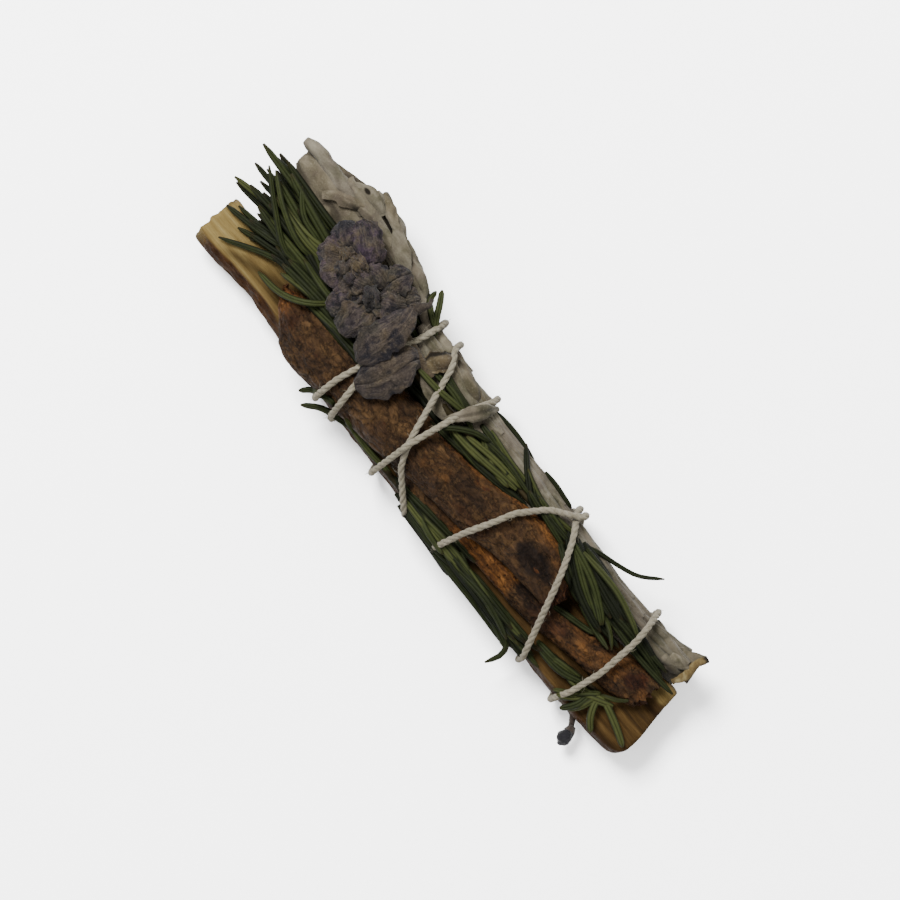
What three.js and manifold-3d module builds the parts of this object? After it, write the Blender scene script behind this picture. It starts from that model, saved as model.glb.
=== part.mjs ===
// Sage smudge stick: a split wooden stick carrying two nested cinnamon barks, a roll of white sage leaves,
// four rosemary sprigs and a dried larkspur spike, all tied by one criss-cross wrap of cotton twine.
// Millimetres. X runs from the leafy head to the cut foot, Y towards the white sage, Z up. It lies down.

import * as THREE from "three";
import { mergeVertices } from "three/addons/utils/BufferGeometryUtils.js";
import Module from "manifold-3d";

const wasm = await Module();
wasm.setup();

// Driving dimensions
const STICK_LENGTH = 100;
const STICK_THICKNESS = 5.5;
const TWINE_DIAMETER = 1.2;
const CLEARANCE = 0.3; // between separate pieces that press on each other
const OUTER_BARK_THICKNESS = 1.1;
const INNER_BARK_THICKNESS = 0.95;
const LEAF_THICKNESS = 0.7;
const NEEDLE_WIDTH = 1.2;
const NEEDLE_DEPTH = 0.8;
const NEEDLE_LENGTH = 16;

// Heights and ends that follow from them
const STICK_BOTTOM = TWINE_DIAMETER + CLEARANCE; // the twine passes under the stick
const STICK_TOP = STICK_BOTTOM + STICK_THICKNESS;
const HEAD = -STICK_LENGTH / 2;
const FOOT = STICK_LENGTH / 2;
const UP = new THREE.Vector3(0, 0, 1);

const at = (x, y, z) => new THREE.Vector3(x, y, z);
const steps = (count) => Array.from({ length: count + 1 }, (_, i) => i / count);
const mix = THREE.MathUtils.lerp;
const smooth = THREE.MathUtils.smoothstep;

// A smooth function through [position, value] pairs, level beyond its ends.
function along(pairs) {
  const slope = (i) => {
    const [x0, y0] = pairs[Math.max(i - 1, 0)];
    const [x1, y1] = pairs[Math.min(i + 1, pairs.length - 1)];
    return (y1 - y0) / (x1 - x0);
  };
  return (x) => {
    if (x <= pairs[0][0]) return pairs[0][1];
    if (x >= pairs.at(-1)[0]) return pairs.at(-1)[1];
    const i = pairs.findIndex(([end]) => end > x) - 1;
    const [x0, y0] = pairs[i];
    const [x1, y1] = pairs[i + 1];
    const t = (x - x0) / (x1 - x0);
    const bend = (x1 - x0) * t * (1 - t) * ((1 - t) * slope(i) - t * slope(i + 1));
    return mix(y0, y1, t * t * (3 - 2 * t)) + bend;
  };
}

// A solid from points and triangles, turned face out.
function closed(points, triangles) {
  const bare = new THREE.BufferGeometry().setFromPoints(points).setIndex(triangles);
  const merged = mergeVertices(bare, 1e-4);
  const make = (triVerts) =>
    new wasm.Manifold(
      new wasm.Mesh({ numProp: 3, vertProperties: merged.attributes.position.array, triVerts }),
    );
  const made = make(new Uint32Array(merged.index.array));
  return made.volume() > 0 ? made : make(new Uint32Array(merged.index.array).reverse());
}

// The solid skinned over rings that all hold the same number of points.
function loft(rings) {
  const count = rings[0].length;
  const points = rings.flat();
  const triangles = [];
  for (let i = 0; i + 1 < rings.length; i++) {
    for (let j = 0; j < count; j++) {
      const a = i * count + j;
      const b = i * count + ((j + 1) % count);
      triangles.push(a, b, b + count, a, b + count, a + count);
    }
  }
  const last = (rings.length - 1) * count;
  for (let j = 1; j + 1 < count; j++) triangles.push(0, j + 1, j, last, last + j, last + j + 1);
  return closed(points, triangles);
}

// A sheet of even thickness under a grid of surface points. Both faces are split into triangles alike.
function sheet(rows, thickness) {
  const across = rows[0].length;
  const within = THREE.MathUtils.clamp;
  const cell = (i, j) => rows[within(i, 0, rows.length - 1)][within(j, 0, across - 1)];
  const under = rows.map((row, i) =>
    row.map((p, j) => {
      const onward = cell(i + 1, j).clone().sub(cell(i - 1, j));
      const sideways = cell(i, j + 1).clone().sub(cell(i, j - 1));
      return p.clone().addScaledVector(onward.cross(sideways).normalize(), -thickness);
    }),
  );
  const points = [...rows.flat(), ...under.flat()];
  const below = rows.length * across;
  const triangles = [];
  for (let i = 0; i + 1 < rows.length; i++) {
    for (let j = 0; j + 1 < across; j++) {
      const a = i * across + j;
      for (const [p, q, r] of [[a, a + across, a + across + 1], [a, a + across + 1, a + 1]]) {
        triangles.push(p, q, r, p + below, r + below, q + below);
      }
    }
  }
  const wall = (p, q) => triangles.push(p, q, q + below, p, q + below, p + below);
  for (let j = 0; j + 1 < across; j++) {
    wall(j, j + 1);
    wall((rows.length - 1) * across + j + 1, (rows.length - 1) * across + j);
  }
  for (let i = 0; i + 1 < rows.length; i++) {
    wall((i + 1) * across, i * across);
    wall(i * across + across - 1, (i + 1) * across + across - 1);
  }
  return closed(points, triangles);
}

const curve = (points) => new THREE.CatmullRomCurve3(points.map((p) => at(...p)), false, "centripetal");
const fuse = (solids) => wasm.Manifold.union(solids);
const largest = (solid) => solid.simplify(0.02).decompose().sort((a, b) => b.volume() - a.volume())[0];

// A round rod along a curve, its radius given along it.
function rod(path, radius, count, sides = 6) {
  const frames = path.computeFrenetFrames(count);
  return loft(
    steps(count).map((t, i) =>
      Array.from({ length: sides }, (_, j) => {
        const turn = (2 * Math.PI * j) / sides;
        return path
          .getPointAt(t)
          .addScaledVector(frames.normals[i], radius(t) * Math.cos(turn))
          .addScaledVector(frames.binormals[i], radius(t) * Math.sin(turn));
      }),
    ),
  );
}

// A leaf or petal along a curve: half widths along it, edges curled down about its spine by an angle.
function blade({ spine, width, curl = 0.6, rows = 5 }) {
  const path = curve(spine);
  const grid = steps(rows).map((t) => {
    const tangent = path.getTangentAt(t);
    const side = new THREE.Vector3().crossVectors(UP, tangent).normalize();
    const normal = new THREE.Vector3().crossVectors(tangent, side);
    return steps(3).map((s) => {
      const turn = (2 * s - 1) * curl;
      const radius = width(t) / curl;
      return path
        .getPointAt(t)
        .addScaledVector(side, -radius * Math.sin(turn))
        .addScaledVector(normal, radius * (Math.cos(turn) - 1));
    });
  });
  return sheet(grid, LEAF_THICKNESS);
}

const outline = (half, shares) => along(shares.map(([t, share]) => [t, half * share]));
const leafShape = (half, base = 0.6, tip = 0.4) =>
  outline(half, [[0, base], [0.25, 0.85], [0.5, 1], [0.8, 0.7], [1, tip]]);
const petalShape = (half) => outline(half, [[0, 0.35], [0.35, 0.85], [0.65, 1], [0.88, 0.7], [1, 0.2]]);

// The split stick
const stickNear = along([[HEAD, -7], [-45, -7], [-38, -6.3], [-30, -6.9], [-20, -7.5], [0, -8],
  [20, -8.4], [34, -8.8], [44, -8.4], [48, -7.9], [49.2, -7.4], [FOOT, -6.4]]);
const stickFar = along([[HEAD, 1.6], [-45, 1.4], [-35, 2.2], [-20, 3.5], [0, 4.5], [20, 5.2], [FOOT, 5.9]]);
const stickBevel = along([[HEAD, 1.7], [-35, 1.6], [-20, 1.2], [20, 1.1], [FOOT, 0.8]]);
const FOOT_SKEW = 1.7; // the foot is sawn a little out of square

const stickTop = (x, y) =>
  STICK_TOP + 0.18 * Math.sin(0.22 * x + 0.9 * y) + 0.12 * Math.sin(0.5 * x - 1.3 * y);

function stickRing(x) {
  const near = stickNear(x);
  const far = stickFar(x);
  const bevel = stickBevel(x);
  const skew = (y) => x - FOOT_SKEW * smooth(x, FOOT - 8, FOOT) * smooth(y, -5, 5.9);
  const corner = (y, z) => at(skew(y), y, z);
  const top = [0, 0.25, 0.5, 0.75, 1].map((s) => {
    const y = mix(near + bevel, far - 0.5, s);
    return corner(y, stickTop(x, y) - (s % 1 ? 0 : 0.15));
  });
  return [
    corner(near + 1.6, STICK_BOTTOM),
    corner(near + 0.5, STICK_BOTTOM + 1.2),
    corner(near, STICK_BOTTOM + 2.6),
    corner(near + 0.45 * bevel, STICK_TOP - 1.4),
    ...top,
    corner(far, STICK_TOP - 0.9),
    corner(far, STICK_BOTTOM + 0.9),
    corner(far - 0.7, STICK_BOTTOM),
  ];
}

function stick() {
  const stations = [...steps(14).map((t) => mix(HEAD, FOOT - 5, t)), FOOT - 2, FOOT - 0.8, FOOT];
  return loft(stations.map(stickRing));
}

// The two barks are arched tiles: plan edges, crest and edge heights along X.
const OUTER_BARK = {
  from: -35,
  to: 26.2,
  near: along([[-35, -2.2], [-33, -4.2], [-31, -5.8], [-29, -7.4], [-25.5, -8], [-21, -7.6],
    [-15, -7], [-8, -6.3], [-2, -5], [4, -4.2], [10, -3.6], [16, -2.2], [22, -1.7], [26.2, -1.3]]),
  far: along([[-35, -1], [-33, -0.2], [-30, 0.7], [-25, 1.4], [-13, 2.6], [-8, 3.4],
    [-3, 2.9], [2, 3.3], [8, 4.7], [14, 6.3], [20, 6.3], [24, 5.2], [26.2, 2.2]]),
  crest: along([[-35, 9.2], [-31, 11], [-26, 12.4], [-18, 13.3], [-5, 13.5], [10, 13.6],
    [20, 13.4], [26.2, 12.9]]),
  nearEdge: along([[-35, 8.5], [-29, 8.4], [-14, 8.4], [-6, 9.8], [0, 10.8], [26.2, 10.9]]),
  farEdge: along([[-35, 8.6], [-20, 9], [0, 10], [10, 10.6], [26.2, 11]]),
};
const INNER_BARK = {
  from: -5,
  to: 47,
  near: along([[-5, -5.9], [0, -6.3], [5, -6.2], [10, -5.6], [15, -5.3], [25, -4.9],
    [30, -3.9], [35, -3.1], [40, -2.3], [44, -1.3], [47, 0.2]]),
  far: along([[-5, -1], [10, -0.3], [26, 0.2], [30, 0.6], [34, 1.5], [38, 3],
    [42, 4.5], [45, 4.9], [47, 4.4]]),
  crest: along([[-5, 9.5], [0, 10], [20, 10.1], [28, 10.6], [36, 10.8], [44, 10], [47, 9.3]]),
  nearEdge: along([[-5, 7.8], [47, 7.7]]),
  farEdge: along([[-5, 7.8], [30, 7.9], [47, 8.1]]),
};

// The place on a bark's outer face at a turn from -1 at its near edge to 1 at its far edge.
function barkPoint(bark, x, turn) {
  const near = bark.near(x);
  const far = bark.far(x);
  const edge = turn < 0 ? bark.nearEdge(x) : bark.farEdge(x);
  const angle = (turn * Math.PI) / 2;
  const relief = 0.12 * Math.sin(1.7 * x + 4 * turn) + 0.1 * Math.sin(0.8 * x - 7 * turn);
  return at(
    x,
    (near + far) / 2 + ((far - near) / 2) * Math.sin(angle),
    mix(edge, bark.crest(x), Math.cos(angle)) + relief * Math.cos(angle),
  );
}

function barkTop(bark, x, y) {
  if (x < bark.from || x > bark.to) return 0;
  const s = (2 * y - bark.near(x) - bark.far(x)) / (bark.far(x) - bark.near(x));
  return Math.abs(s) > 1 ? 0 : barkPoint(bark, x, (2 * Math.asin(s)) / Math.PI).z;
}

function barkTile(bark, rows, thickness, brokenEnd) {
  const stations = steps(rows).map((t) => mix(bark.from, bark.to, t));
  const grid = stations.map((x, i) =>
    steps(8).map((s, j) => {
      const ragged = i === rows ? brokenEnd * Math.sin(2.4 * j) : i === 0 ? 0.5 * Math.cos(3 * j) : 0;
      const point = barkPoint(bark, x, 2 * s - 1);
      return point.setX(point.x + ragged);
    }),
  );
  return sheet(grid, thickness);
}

// The roll of sage: centre and half sizes of its section along X
const SAGE_FROM = -24;
const SAGE_TO = 46.6;
const sageMiddle = along([[-24, 9.9], [-15, 8.8], [-5, 7.9], [5, 7.5],
  [25, 6.9], [35, 6.8], [42, 7.4], [46.6, 8.4]]);
const sageHeight = along([[-24, 8.4], [-15, 7.6], [-5, 6.9], [5, 6.6], [20, 6.5], [46.6, 6.4]]);
const sageHalfWidth = along([[-24, 2.4], [-15, 3.2], [-5, 3.2], [15, 3.1],
  [35, 2.6], [42, 2.5], [46.6, 2.6]]);
const sageHalfHeight = along([[-24, 2.2], [-15, 3.2], [-5, 3.5], [15, 3.6], [35, 3.3], [46.6, 3]]);

// A point on the roll, at a turn about its middle from straight up towards +Y, lifted off it by a little.
function onRoll(x, turn, lift) {
  return at(
    x,
    sageMiddle(x) + (sageHalfWidth(x) + lift) * Math.sin(turn),
    sageHeight(x) + (sageHalfHeight(x) + lift) * Math.cos(turn),
  );
}

function rollTop(x, y) {
  const s = (y - sageMiddle(x)) / sageHalfWidth(x);
  if (x < SAGE_FROM || x > SAGE_TO || Math.abs(s) > 1) return 0;
  return sageHeight(x) + sageHalfHeight(x) * Math.sqrt(1 - s * s);
}

// Leaves wrapped along the roll: where each starts and ends, its midrib's turn, half its angular width
const WRAPPED_LEAVES = [
  { from: -22, to: 8, turn: 0.9, half: 0.6 },
  { from: -3, to: 30, turn: 0.8, half: 0.6 },
  { from: -20, to: 18, turn: 2.1, half: 0.6 },
  { from: 8, to: 44, turn: 1.9, half: 0.6 },
  { from: 18, to: 46, turn: 0.5, half: 0.7 },
];

function wrappedLeaf({ from, to, turn, half }) {
  const shape = leafShape(half, 0.5, 0.25);
  const grid = steps(5).map((t) =>
    steps(3).map((s) => {
      const x = mix(from, to, t);
      const lift = 0.55 + 0.25 * Math.abs(2 * s - 1) + 0.3 * smooth(t, 0.85, 1);
      return onRoll(x, turn + (2 * s - 1) * shape(t), lift);
    }),
  );
  return sheet(grid, 1.2);
}

// Free sage leaves: two broad ones and three crumpled ones at the head, three that cross the front
const FREE_LEAVES = [
  {
    spine: [[-20, 11, 10], [-33, 12.6, 9.4], [-41, 14.4, 9.2], [-46, 14.9, 9.6], [-49.5, 14.8, 9.8]],
    width: along([[0, 1.8], [0.5, 2.9], [0.75, 2.6], [0.88, 1.2], [1, 0.8]]),
    curl: 0.9,
  },
  {
    spine: [[-22, 11, 8], [-34, 12, 7.7], [-42, 13, 7.8], [-47.6, 12.3, 8]],
    width: along([[0, 1.6], [0.6, 2.6], [0.85, 2], [1, 1.3]]),
    curl: 0.7,
  },
  {
    spine: [[-17, 11, 9.6], [-26, 13.8, 10.4], [-33, 16.8, 10], [-38.4, 16.4, 9.6]],
    width: leafShape(1.9, 0.6, 0.6),
    curl: 1,
  },
  {
    spine: [[-17, 11.4, 8], [-26, 14.2, 8.2], [-31, 16.6, 8.4], [-35.4, 18, 8.4]],
    width: leafShape(1.5, 0.6, 0.6),
    curl: 0.8,
  },
  {
    spine: [[-15, 10.6, 9], [-20, 12.8, 8.6], [-24, 14.2, 8.2], [-28, 15.6, 7.8]],
    width: leafShape(1.3),
  },
  {
    spine: [[-7, 9, 9.4], [-10.6, 9.4, 11.2], [-13.6, 9.4, 11.6], [-15.2, 8.6, 11.4]],
    width: leafShape(1.9),
  },
  {
    spine: [[-2, 7.6, 10], [-5, 5.6, 11], [-9, 5.4, 11.6], [-12.6, 6.4, 11.7]],
    width: leafShape(1.5, 0.5, 0.3),
  },
  {
    spine: [[0.4, 10.4, 7.6], [-1.4, 9.8, 10], [-2.7, 7.8, 11.5], [-3.9, 5.9, 12.1]],
    width: leafShape(1.3),
  },
];

function sage() {
  const roll = loft(
    steps(10).map((t) => {
      const x = mix(SAGE_FROM, SAGE_TO, t);
      const ripple = (j) => 0.15 * Math.cos(5 * j + 0.3 * x);
      return Array.from({ length: 10 }, (_, j) => onRoll(x, (Math.PI * j) / 5, ripple(j)));
    }),
  );
  const stem = rod(curve([[38, 7.2, 7], [44, 8.2, 7.4], [47.5, 9.2, 7.6]]), (t) => 2 - 0.3 * t, 4, 8);
  const sheath = blade({
    spine: [[40, 8.4, 8.6], [44.5, 9.8, 8.6], [47, 12, 8.3]],
    width: leafShape(1.2, 0.9, 0.4),
  });
  return fuse([roll, stem, sheath, ...WRAPPED_LEAVES.map(wrappedLeaf), ...FREE_LEAVES.map(blade)]);
}

// Rosemary. A needle is three-sided, flat below, on a curve that lies on whatever is under it.
const underneath = (x, y) =>
  Math.max(
    x < HEAD - 1 || y < stickNear(x) + 0.6 || y > stickFar(x) ? 0 : stickTop(x, y),
    barkTop(INNER_BARK, x, y),
    barkTop(OUTER_BARK, x, y),
    rollTop(x, y) + (x > SAGE_FROM ? 0.6 : 0),
  );

function needle(points, stack = 0) {
  const path = curve(points);
  const thick = along([[0, 0.5], [0.12, 0.85], [0.5, 1], [0.85, 0.8], [1, 0.25]]);
  return loft(
    steps(3).map((t) => {
      const p = path.getPointAt(t);
      const tangent = path.getTangentAt(t);
      if (t > 0) p.z = Math.max(p.z, underneath(p.x, p.y) + CLEARANCE + stack);
      const side = new THREE.Vector3().crossVectors(UP, tangent).normalize();
      const lift = new THREE.Vector3().crossVectors(tangent, side);
      const half = (NEEDLE_WIDTH / 2) * thick(t);
      return [
        p.clone().addScaledVector(side, half),
        p.clone().addScaledVector(side, -half),
        p.clone().addScaledVector(lift, NEEDLE_DEPTH * thick(t)),
      ];
    }),
  );
}

// Needles in flat layers, each layer a feather. Outer ones leave the stem further back, so that none cross.
function feather({ stem, ranks, from, to, onward, near, far, layers, length = NEEDLE_LENGTH }) {
  const path = curve(stem);
  return layers.flatMap((lift, layer) =>
    [-near, far].flatMap((gap, side) =>
      Array.from({ length: ranks }, (_, rank) => {
        const stagger = 0.5 * ((layer + side) % 2);
        const root = path.getPointAt(mix(to, from, (rank + stagger) / ranks));
        const long = onward * length * (0.92 + 0.16 * Math.sin(5 * rank + 3 * layer) ** 2);
        const out = gap * (rank + 0.3 + stagger);
        const place = ([onto, outward, upward]) => [
          root.x + onto * long,
          root.y + outward * out,
          root.z + upward * lift,
        ];
        const shares = [[0, 0, 0.2], [0.3, 0.62, 0.8], [0.65, 0.92, 1], [1, 1, 0.9]];
        return needle(shares.map(place), 0.9 * layer);
      }),
    ),
  );
}

const SPRIGS = {
  head: {
    stem: [[-6, 1.2, 8.9], [-16, 3.2, 9.2], [-26, 5, 9.6], [-36, 6, 9.8]],
    radius: 0.75,
    feathers: [
      { ranks: 4, from: 0.72, to: 1, onward: -1, near: 1.35, far: 1.6, layers: [-1.2, 0, 1.2] },
      { ranks: 3, from: 0.4, to: 0.62, onward: -1, near: 1.2, far: 1.4, layers: [0] },
    ],
    strays: [
      [[-29, 5.1, 9.7], [-33, 2.4, 9.6], [-40, 0, 8.2], [-47.1, -4.2, 7.6]],
      [[-27, 5, 9.7], [-31, -0.2, 12.4], [-35, -2.4, 9.6], [-39.4, -2.9, 7.6]],
      [[-33, 5.6, 9.8], [-38, 2, 11.2], [-45, 5, 12], [-50.2, 8.2, 11.8]],
      [[-33, 5.6, 9.8], [-38, 4.4, 11.8], [-44, 6, 12.3], [-49, 8.6, 12]],
      [[-32, 5.6, 9.8], [-37, 6.9, 11.8], [-41, 7.4, 12.2], [-44.8, 10, 12.2]],
      [[-35, 5.8, 9.8], [-40, 2.3, 9.4], [-45, 0.8, 8.4], [-50, -0.3, 7.8]],
      [[-36, 6, 9.8], [-43, 5, 9.4], [-48, 4.2, 9], [-52.4, 3.3, 8.8]],
      [[-36, 6, 9.8], [-43, 7, 9.8], [-48, 6.9, 9.8], [-52, 6.9, 9.6]],
      [[-36, 6, 9.8], [-42, 9, 10], [-47, 9.9, 10], [-51.4, 9.6, 9.8]],
    ],
  },
  far: {
    stem: [[-14, 5.6, 11.1], [-5, 5.8, 11], [6, 6.4, 10.9], [18, 7, 11], [28, 6.4, 10.6], [35, 6, 10.1]],
    radius: 0.6,
    feathers: [
      { ranks: 3, from: 0.12, to: 0.28, onward: 1, near: 1.2, far: 1.2, layers: [0.2], length: 13 },
      { ranks: 2, from: 0.36, to: 0.46, onward: 1, near: 1.1, far: 1.2, layers: [0.2], length: 13 },
      { ranks: 3, from: 0.62, to: 0.82, onward: 1, near: 1.25, far: 1.2, layers: [-0.3, 0.8], length: 13 },
      { ranks: 2, from: 0.9, to: 0.98, onward: 1, near: 1.1, far: 1.1, layers: [-0.2], length: 12 },
    ],
    strays: [
      [[17, 7.2, 11], [13, 6.8, 11.5], [9, 9, 11.2], [5.4, 11.7, 8.8]],
      [[20, 7.3, 11], [24, 9.6, 9.8], [28, 10.9, 8.4], [31, 12.2, 8.4], [33.8, 14.9, 8.8]],
      [[24, 6.8, 10.8], [30, 4.8, 10.6], [34, 3.9, 10.6], [36.8, 2.2, 11.4]],
      [[22, 7, 10.8], [27.4, 3.6, 9.4], [32, 2.4, 9.6], [36.4, 1.9, 11.3]],
    ],
  },
  near: {
    stem: [[-22, -5.6, 7.9], [-12, -6.6, 7.8], [-2, -6.9, 7.9], [8, -7.1, 8], [16, -7.1, 8]],
    radius: 0.6,
    feathers: [
      { ranks: 1, from: 0.1, to: 0.2, onward: 1, near: 1, far: 1, layers: [0], length: 13 },
      { ranks: 2, from: 0.46, to: 0.62, onward: 1, near: 1.1, far: 1.1, layers: [0, 0.8], length: 13 },
      { ranks: 2, from: 0.84, to: 1, onward: 1, near: 1.1, far: 1.1, layers: [0, 0.8], length: 12 },
    ],
    strays: [
      [[-12, -6.6, 7.8], [-15, -7.4, 7.8], [-17.8, -8.4, 7.4], [-20.2, -10.5, 7]],
      [[-16, -6.2, 7.8], [-19, -7, 7.8], [-20.8, -7.8, 7.5], [-22, -9.4, 7.2]],
      [[15, -7.1, 8], [21, -8, 7.8], [26, -8.8, 7.6], [27.2, -10.6, 7.2], [26.6, -13.5, 6.8]],
    ],
  },
  foot: {
    stem: [[29.4, -6.4, 7.9], [32.4, -5.3, 8.1], [37, -4.7, 8.1], [41.6, -4, 8.1]],
    radius: 0.55,
    feathers: [],
    strays: [
      [[41.2, -4.2, 8.2], [40.2, -5.6, 8.3], [38.6, -7.2, 8.1], [36.8, -8.3, 7.9]],
      [[41.2, -4.2, 8.2], [41, -5.8, 8.5], [40.6, -7.2, 8.3], [40, -8.6, 7.6]],
      [[41.4, -4.2, 8.2], [41.7, -5.8, 8.4], [41.4, -7.2, 8.2], [41.2, -8.5, 7.5]],
      [[41.4, -4.2, 8.2], [42.4, -5.6, 8.6], [43.4, -7, 8.3], [44.8, -8.1, 7.8]],
      [[41.4, -4, 8.2], [43.4, -3.8, 8.4], [46.4, -4.2, 8.1], [49.4, -5, 7.8]],
      [[41.4, -4, 8.2], [42.6, -3, 8.8], [43.8, -2.2, 8.5], [45.2, -1, 8.2]],
      [[34, -5, 8], [37, -5.9, 8.3], [40, -5.2, 8.5], [42.6, -4.2, 8.7]],
    ],
  },
};

function sprig({ stem, radius, feathers, strays }, others) {
  const wood = rod(curve(stem), (t) => radius * (1 - 0.35 * t), 6);
  const needles = feathers.flatMap((plan) => feather({ stem, ...plan }));
  return largest(fuse([wood, ...needles, ...strays.map((points) => needle(points))]).subtract(others));
}

// The oval space that a brush fills, which the twine is pulled over.
function pad([x0, x1], middle, height, halfWidth, halfHeight) {
  return loft(
    steps(8).map((t) => {
      const x = mix(x0, x1, t);
      return Array.from({ length: 10 }, (_, j) => {
        const turn = (Math.PI * j) / 5;
        return at(x, middle(x) + halfWidth * Math.cos(turn), height + halfHeight * Math.sin(turn));
      });
    }),
  );
}

// The larkspur spike: a stem, and sepals on short pedicels from it, each a spine and a half width
const SPIKE_STEM = [[-11, 7, 11.9], [-19, 8, 12.9], [-27, 8.6, 12.9], [-33, 9.3, 13]];
const SEPALS = [
  { spine: [[-32.6, 9.4, 13], [-34.6, 10.2, 14.6], [-36.2, 11.2, 14.8], [-37, 12.2, 13.8]], half: 2.1 },
  { spine: [[-31.6, 9.6, 13], [-31, 11.2, 15], [-32.4, 13, 15.4], [-34.6, 14.6, 14.2]], half: 2.4 },
  { spine: [[-32, 9, 13], [-34.2, 8.6, 14.6], [-35.4, 8, 14.8], [-36.4, 7.4, 13.6]], half: 2 },
  { spine: [[-31.8, 8.8, 13], [-32.6, 7, 14.8], [-33.2, 5.4, 14.8], [-33.2, 4, 13.6]], half: 2.2 },
  { spine: [[-31.4, 8.8, 13], [-30.4, 7.2, 14.8], [-29.6, 5.8, 14.8], [-29, 4.6, 13.6]], half: 2 },
  { spine: [[-31.2, 9.4, 13], [-30, 10.4, 15], [-28.8, 11.4, 15.2], [-27.6, 12, 14.4]], half: 1.8 },
  { spine: [[-27, 8.4, 13], [-26.8, 6.4, 15], [-27, 4.4, 15], [-27.4, 2.4, 13.8]], half: 2.4 },
  { spine: [[-26.6, 8.4, 13], [-25, 7.2, 15.2], [-23.8, 5.8, 15.2], [-23, 3.4, 13.9]], half: 2.4 },
  { spine: [[-26.4, 8.8, 13], [-24.8, 9, 15.4], [-23.4, 9, 15.6], [-22, 8.6, 14.8]], half: 1.9 },
  { spine: [[-26.4, 9, 13], [-25.4, 11, 14.6], [-25.6, 12.8, 14.6], [-26.4, 14.4, 13.8]], half: 1.8 },
  { spine: [[-24, 8.6, 13], [-23.2, 10.8, 14.2], [-22.6, 12.2, 14.2], [-22, 13.6, 13.2]], half: 1.5 },
  {
    spine: [[-20.4, 8.2, 13], [-19.4, 11, 14.4], [-19.2, 12, 15.7], [-19.8, 7, 16.6],
      [-19.9, 4, 16.6], [-19.6, 0.5, 15.4]],
    half: 2.8,
    rows: 7,
  },
  {
    spine: [[-13.4, 7.2, 12.2], [-14, 6.6, 14.6], [-15, 3.6, 16], [-16, 0.8, 15.9], [-16.7, -2, 15.2]],
    half: 2.5,
  },
];

function larkspur(others) {
  const stem = rod(curve(SPIKE_STEM), (t) => 0.75 - 0.15 * t, 6);
  const petals = SEPALS.map(({ spine, half, rows = 4 }) =>
    blade({ spine, width: petalShape(half), curl: 0.75, rows }),
  );
  const hearts = [[-31.8, 9.1], [-26.6, 8.6]].map(([x, y]) =>
    rod(curve([[x, y, 12.8], [x, y, 14.2], [x + 0.2, y, 15]]), (t) => 1 - 0.5 * t, 1),
  );
  return largest(fuse([stem, ...petals, ...hearts]).subtract(others));
}

// A closed larkspur bud on its stalk, caught between the twine and the side of the stick
function bud(others) {
  const stem = curve([[30, -7.9, 2.1], [37, -8, 2.2], [41, -8.4, 2.4], [42.7, -10, 2.8]]);
  const stalk = rod(stem, () => 0.45, 6);
  const swell = along([[0, 0.5], [0.35, 0.95], [0.7, 1.05], [1, 0.4]]);
  const spine = curve([[42.5, -9.6, 2.7], [42.9, -10.8, 3], [43.1, -11.9, 3], [43.2, -12.8, 2.8]]);
  const head = rod(spine, swell, 4);
  return largest(fuse([stalk, head]).subtract(others));
}

// The twine's passes over the front, in the order it was wound: [Y, X] from the near side to the far side
const NEAR_TURN = -8.8;
const PASSES = [
  [[NEAR_TURN, -19.7], [-3, -19.4], [0.5, -19], [4, -17.6], [7, -16.6], [12.8, -16]],
  [[NEAR_TURN, -5.8], [0, -5.3], [3, -4.9], [6, -4.5], [11.8, -2.4]],
  [[NEAR_TURN, 8.6], [-5, 9.3], [0, 11], [5, 12.6], [7, 14], [9, 16], [11.2, 19.2]],
  [[NEAR_TURN, 37.2], [-4.5, 38.2], [0, 38.4], [5, 38.1], [10.4, 37.2]],
  [[NEAR_TURN, 29.6], [-4, 27.1], [0, 25.1], [4, 23.1], [7.5, 21], [11.2, 18]],
  [[NEAR_TURN, 2.2], [-6.5, -1.9], [-3.5, -4.5], [-1.5, -5.6], [5.3, -8.6], [10, -10.1], [12.4, -12.1]],
  [[NEAR_TURN, -15.9], [-2, -17.2], [4, -18.6], [12.8, -20.2]],
];

// The knot under the sage: the lump of the hitch, and the two cut tails that leave it
const KNOT_LUMP = [[-20, 8.2, 2.4], [-20, 7.2, 1.9], [-19.9, 5.6, 1.5]];
const TAILS = [
  [[-20, 6.4, 1.5], [-17.4, 5.9, 1.1], [-14.6, 6.8, 1.2]],
  [[-20, 7.2, 1.8], [-22.8, 6.6, 1.1], [-25.6, 7.6, 1.3]],
];

// Where the upright surface over a route cuts solids: [Y, height] of each crossing.
function sectionPoints(solids, route) {
  const found = [];
  for (const solid of solids) {
    const { vertProperties: v, triVerts: t } = solid.getMesh();
    const offset = (i) => v[3 * i] - route(v[3 * i + 1]);
    for (let i = 0; i < t.length; i += 3) {
      for (const [a, b] of [[t[i], t[i + 1]], [t[i + 1], t[i + 2]], [t[i + 2], t[i]]]) {
        const [from, to] = [offset(a), offset(b)];
        if (a > b || from * to > 0 || from === to) continue;
        const share = from / (from - to);
        found.push([mix(v[3 * a + 1], v[3 * b + 1], share), mix(v[3 * a + 2], v[3 * b + 2], share)]);
      }
    }
  }
  return found;
}

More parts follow.
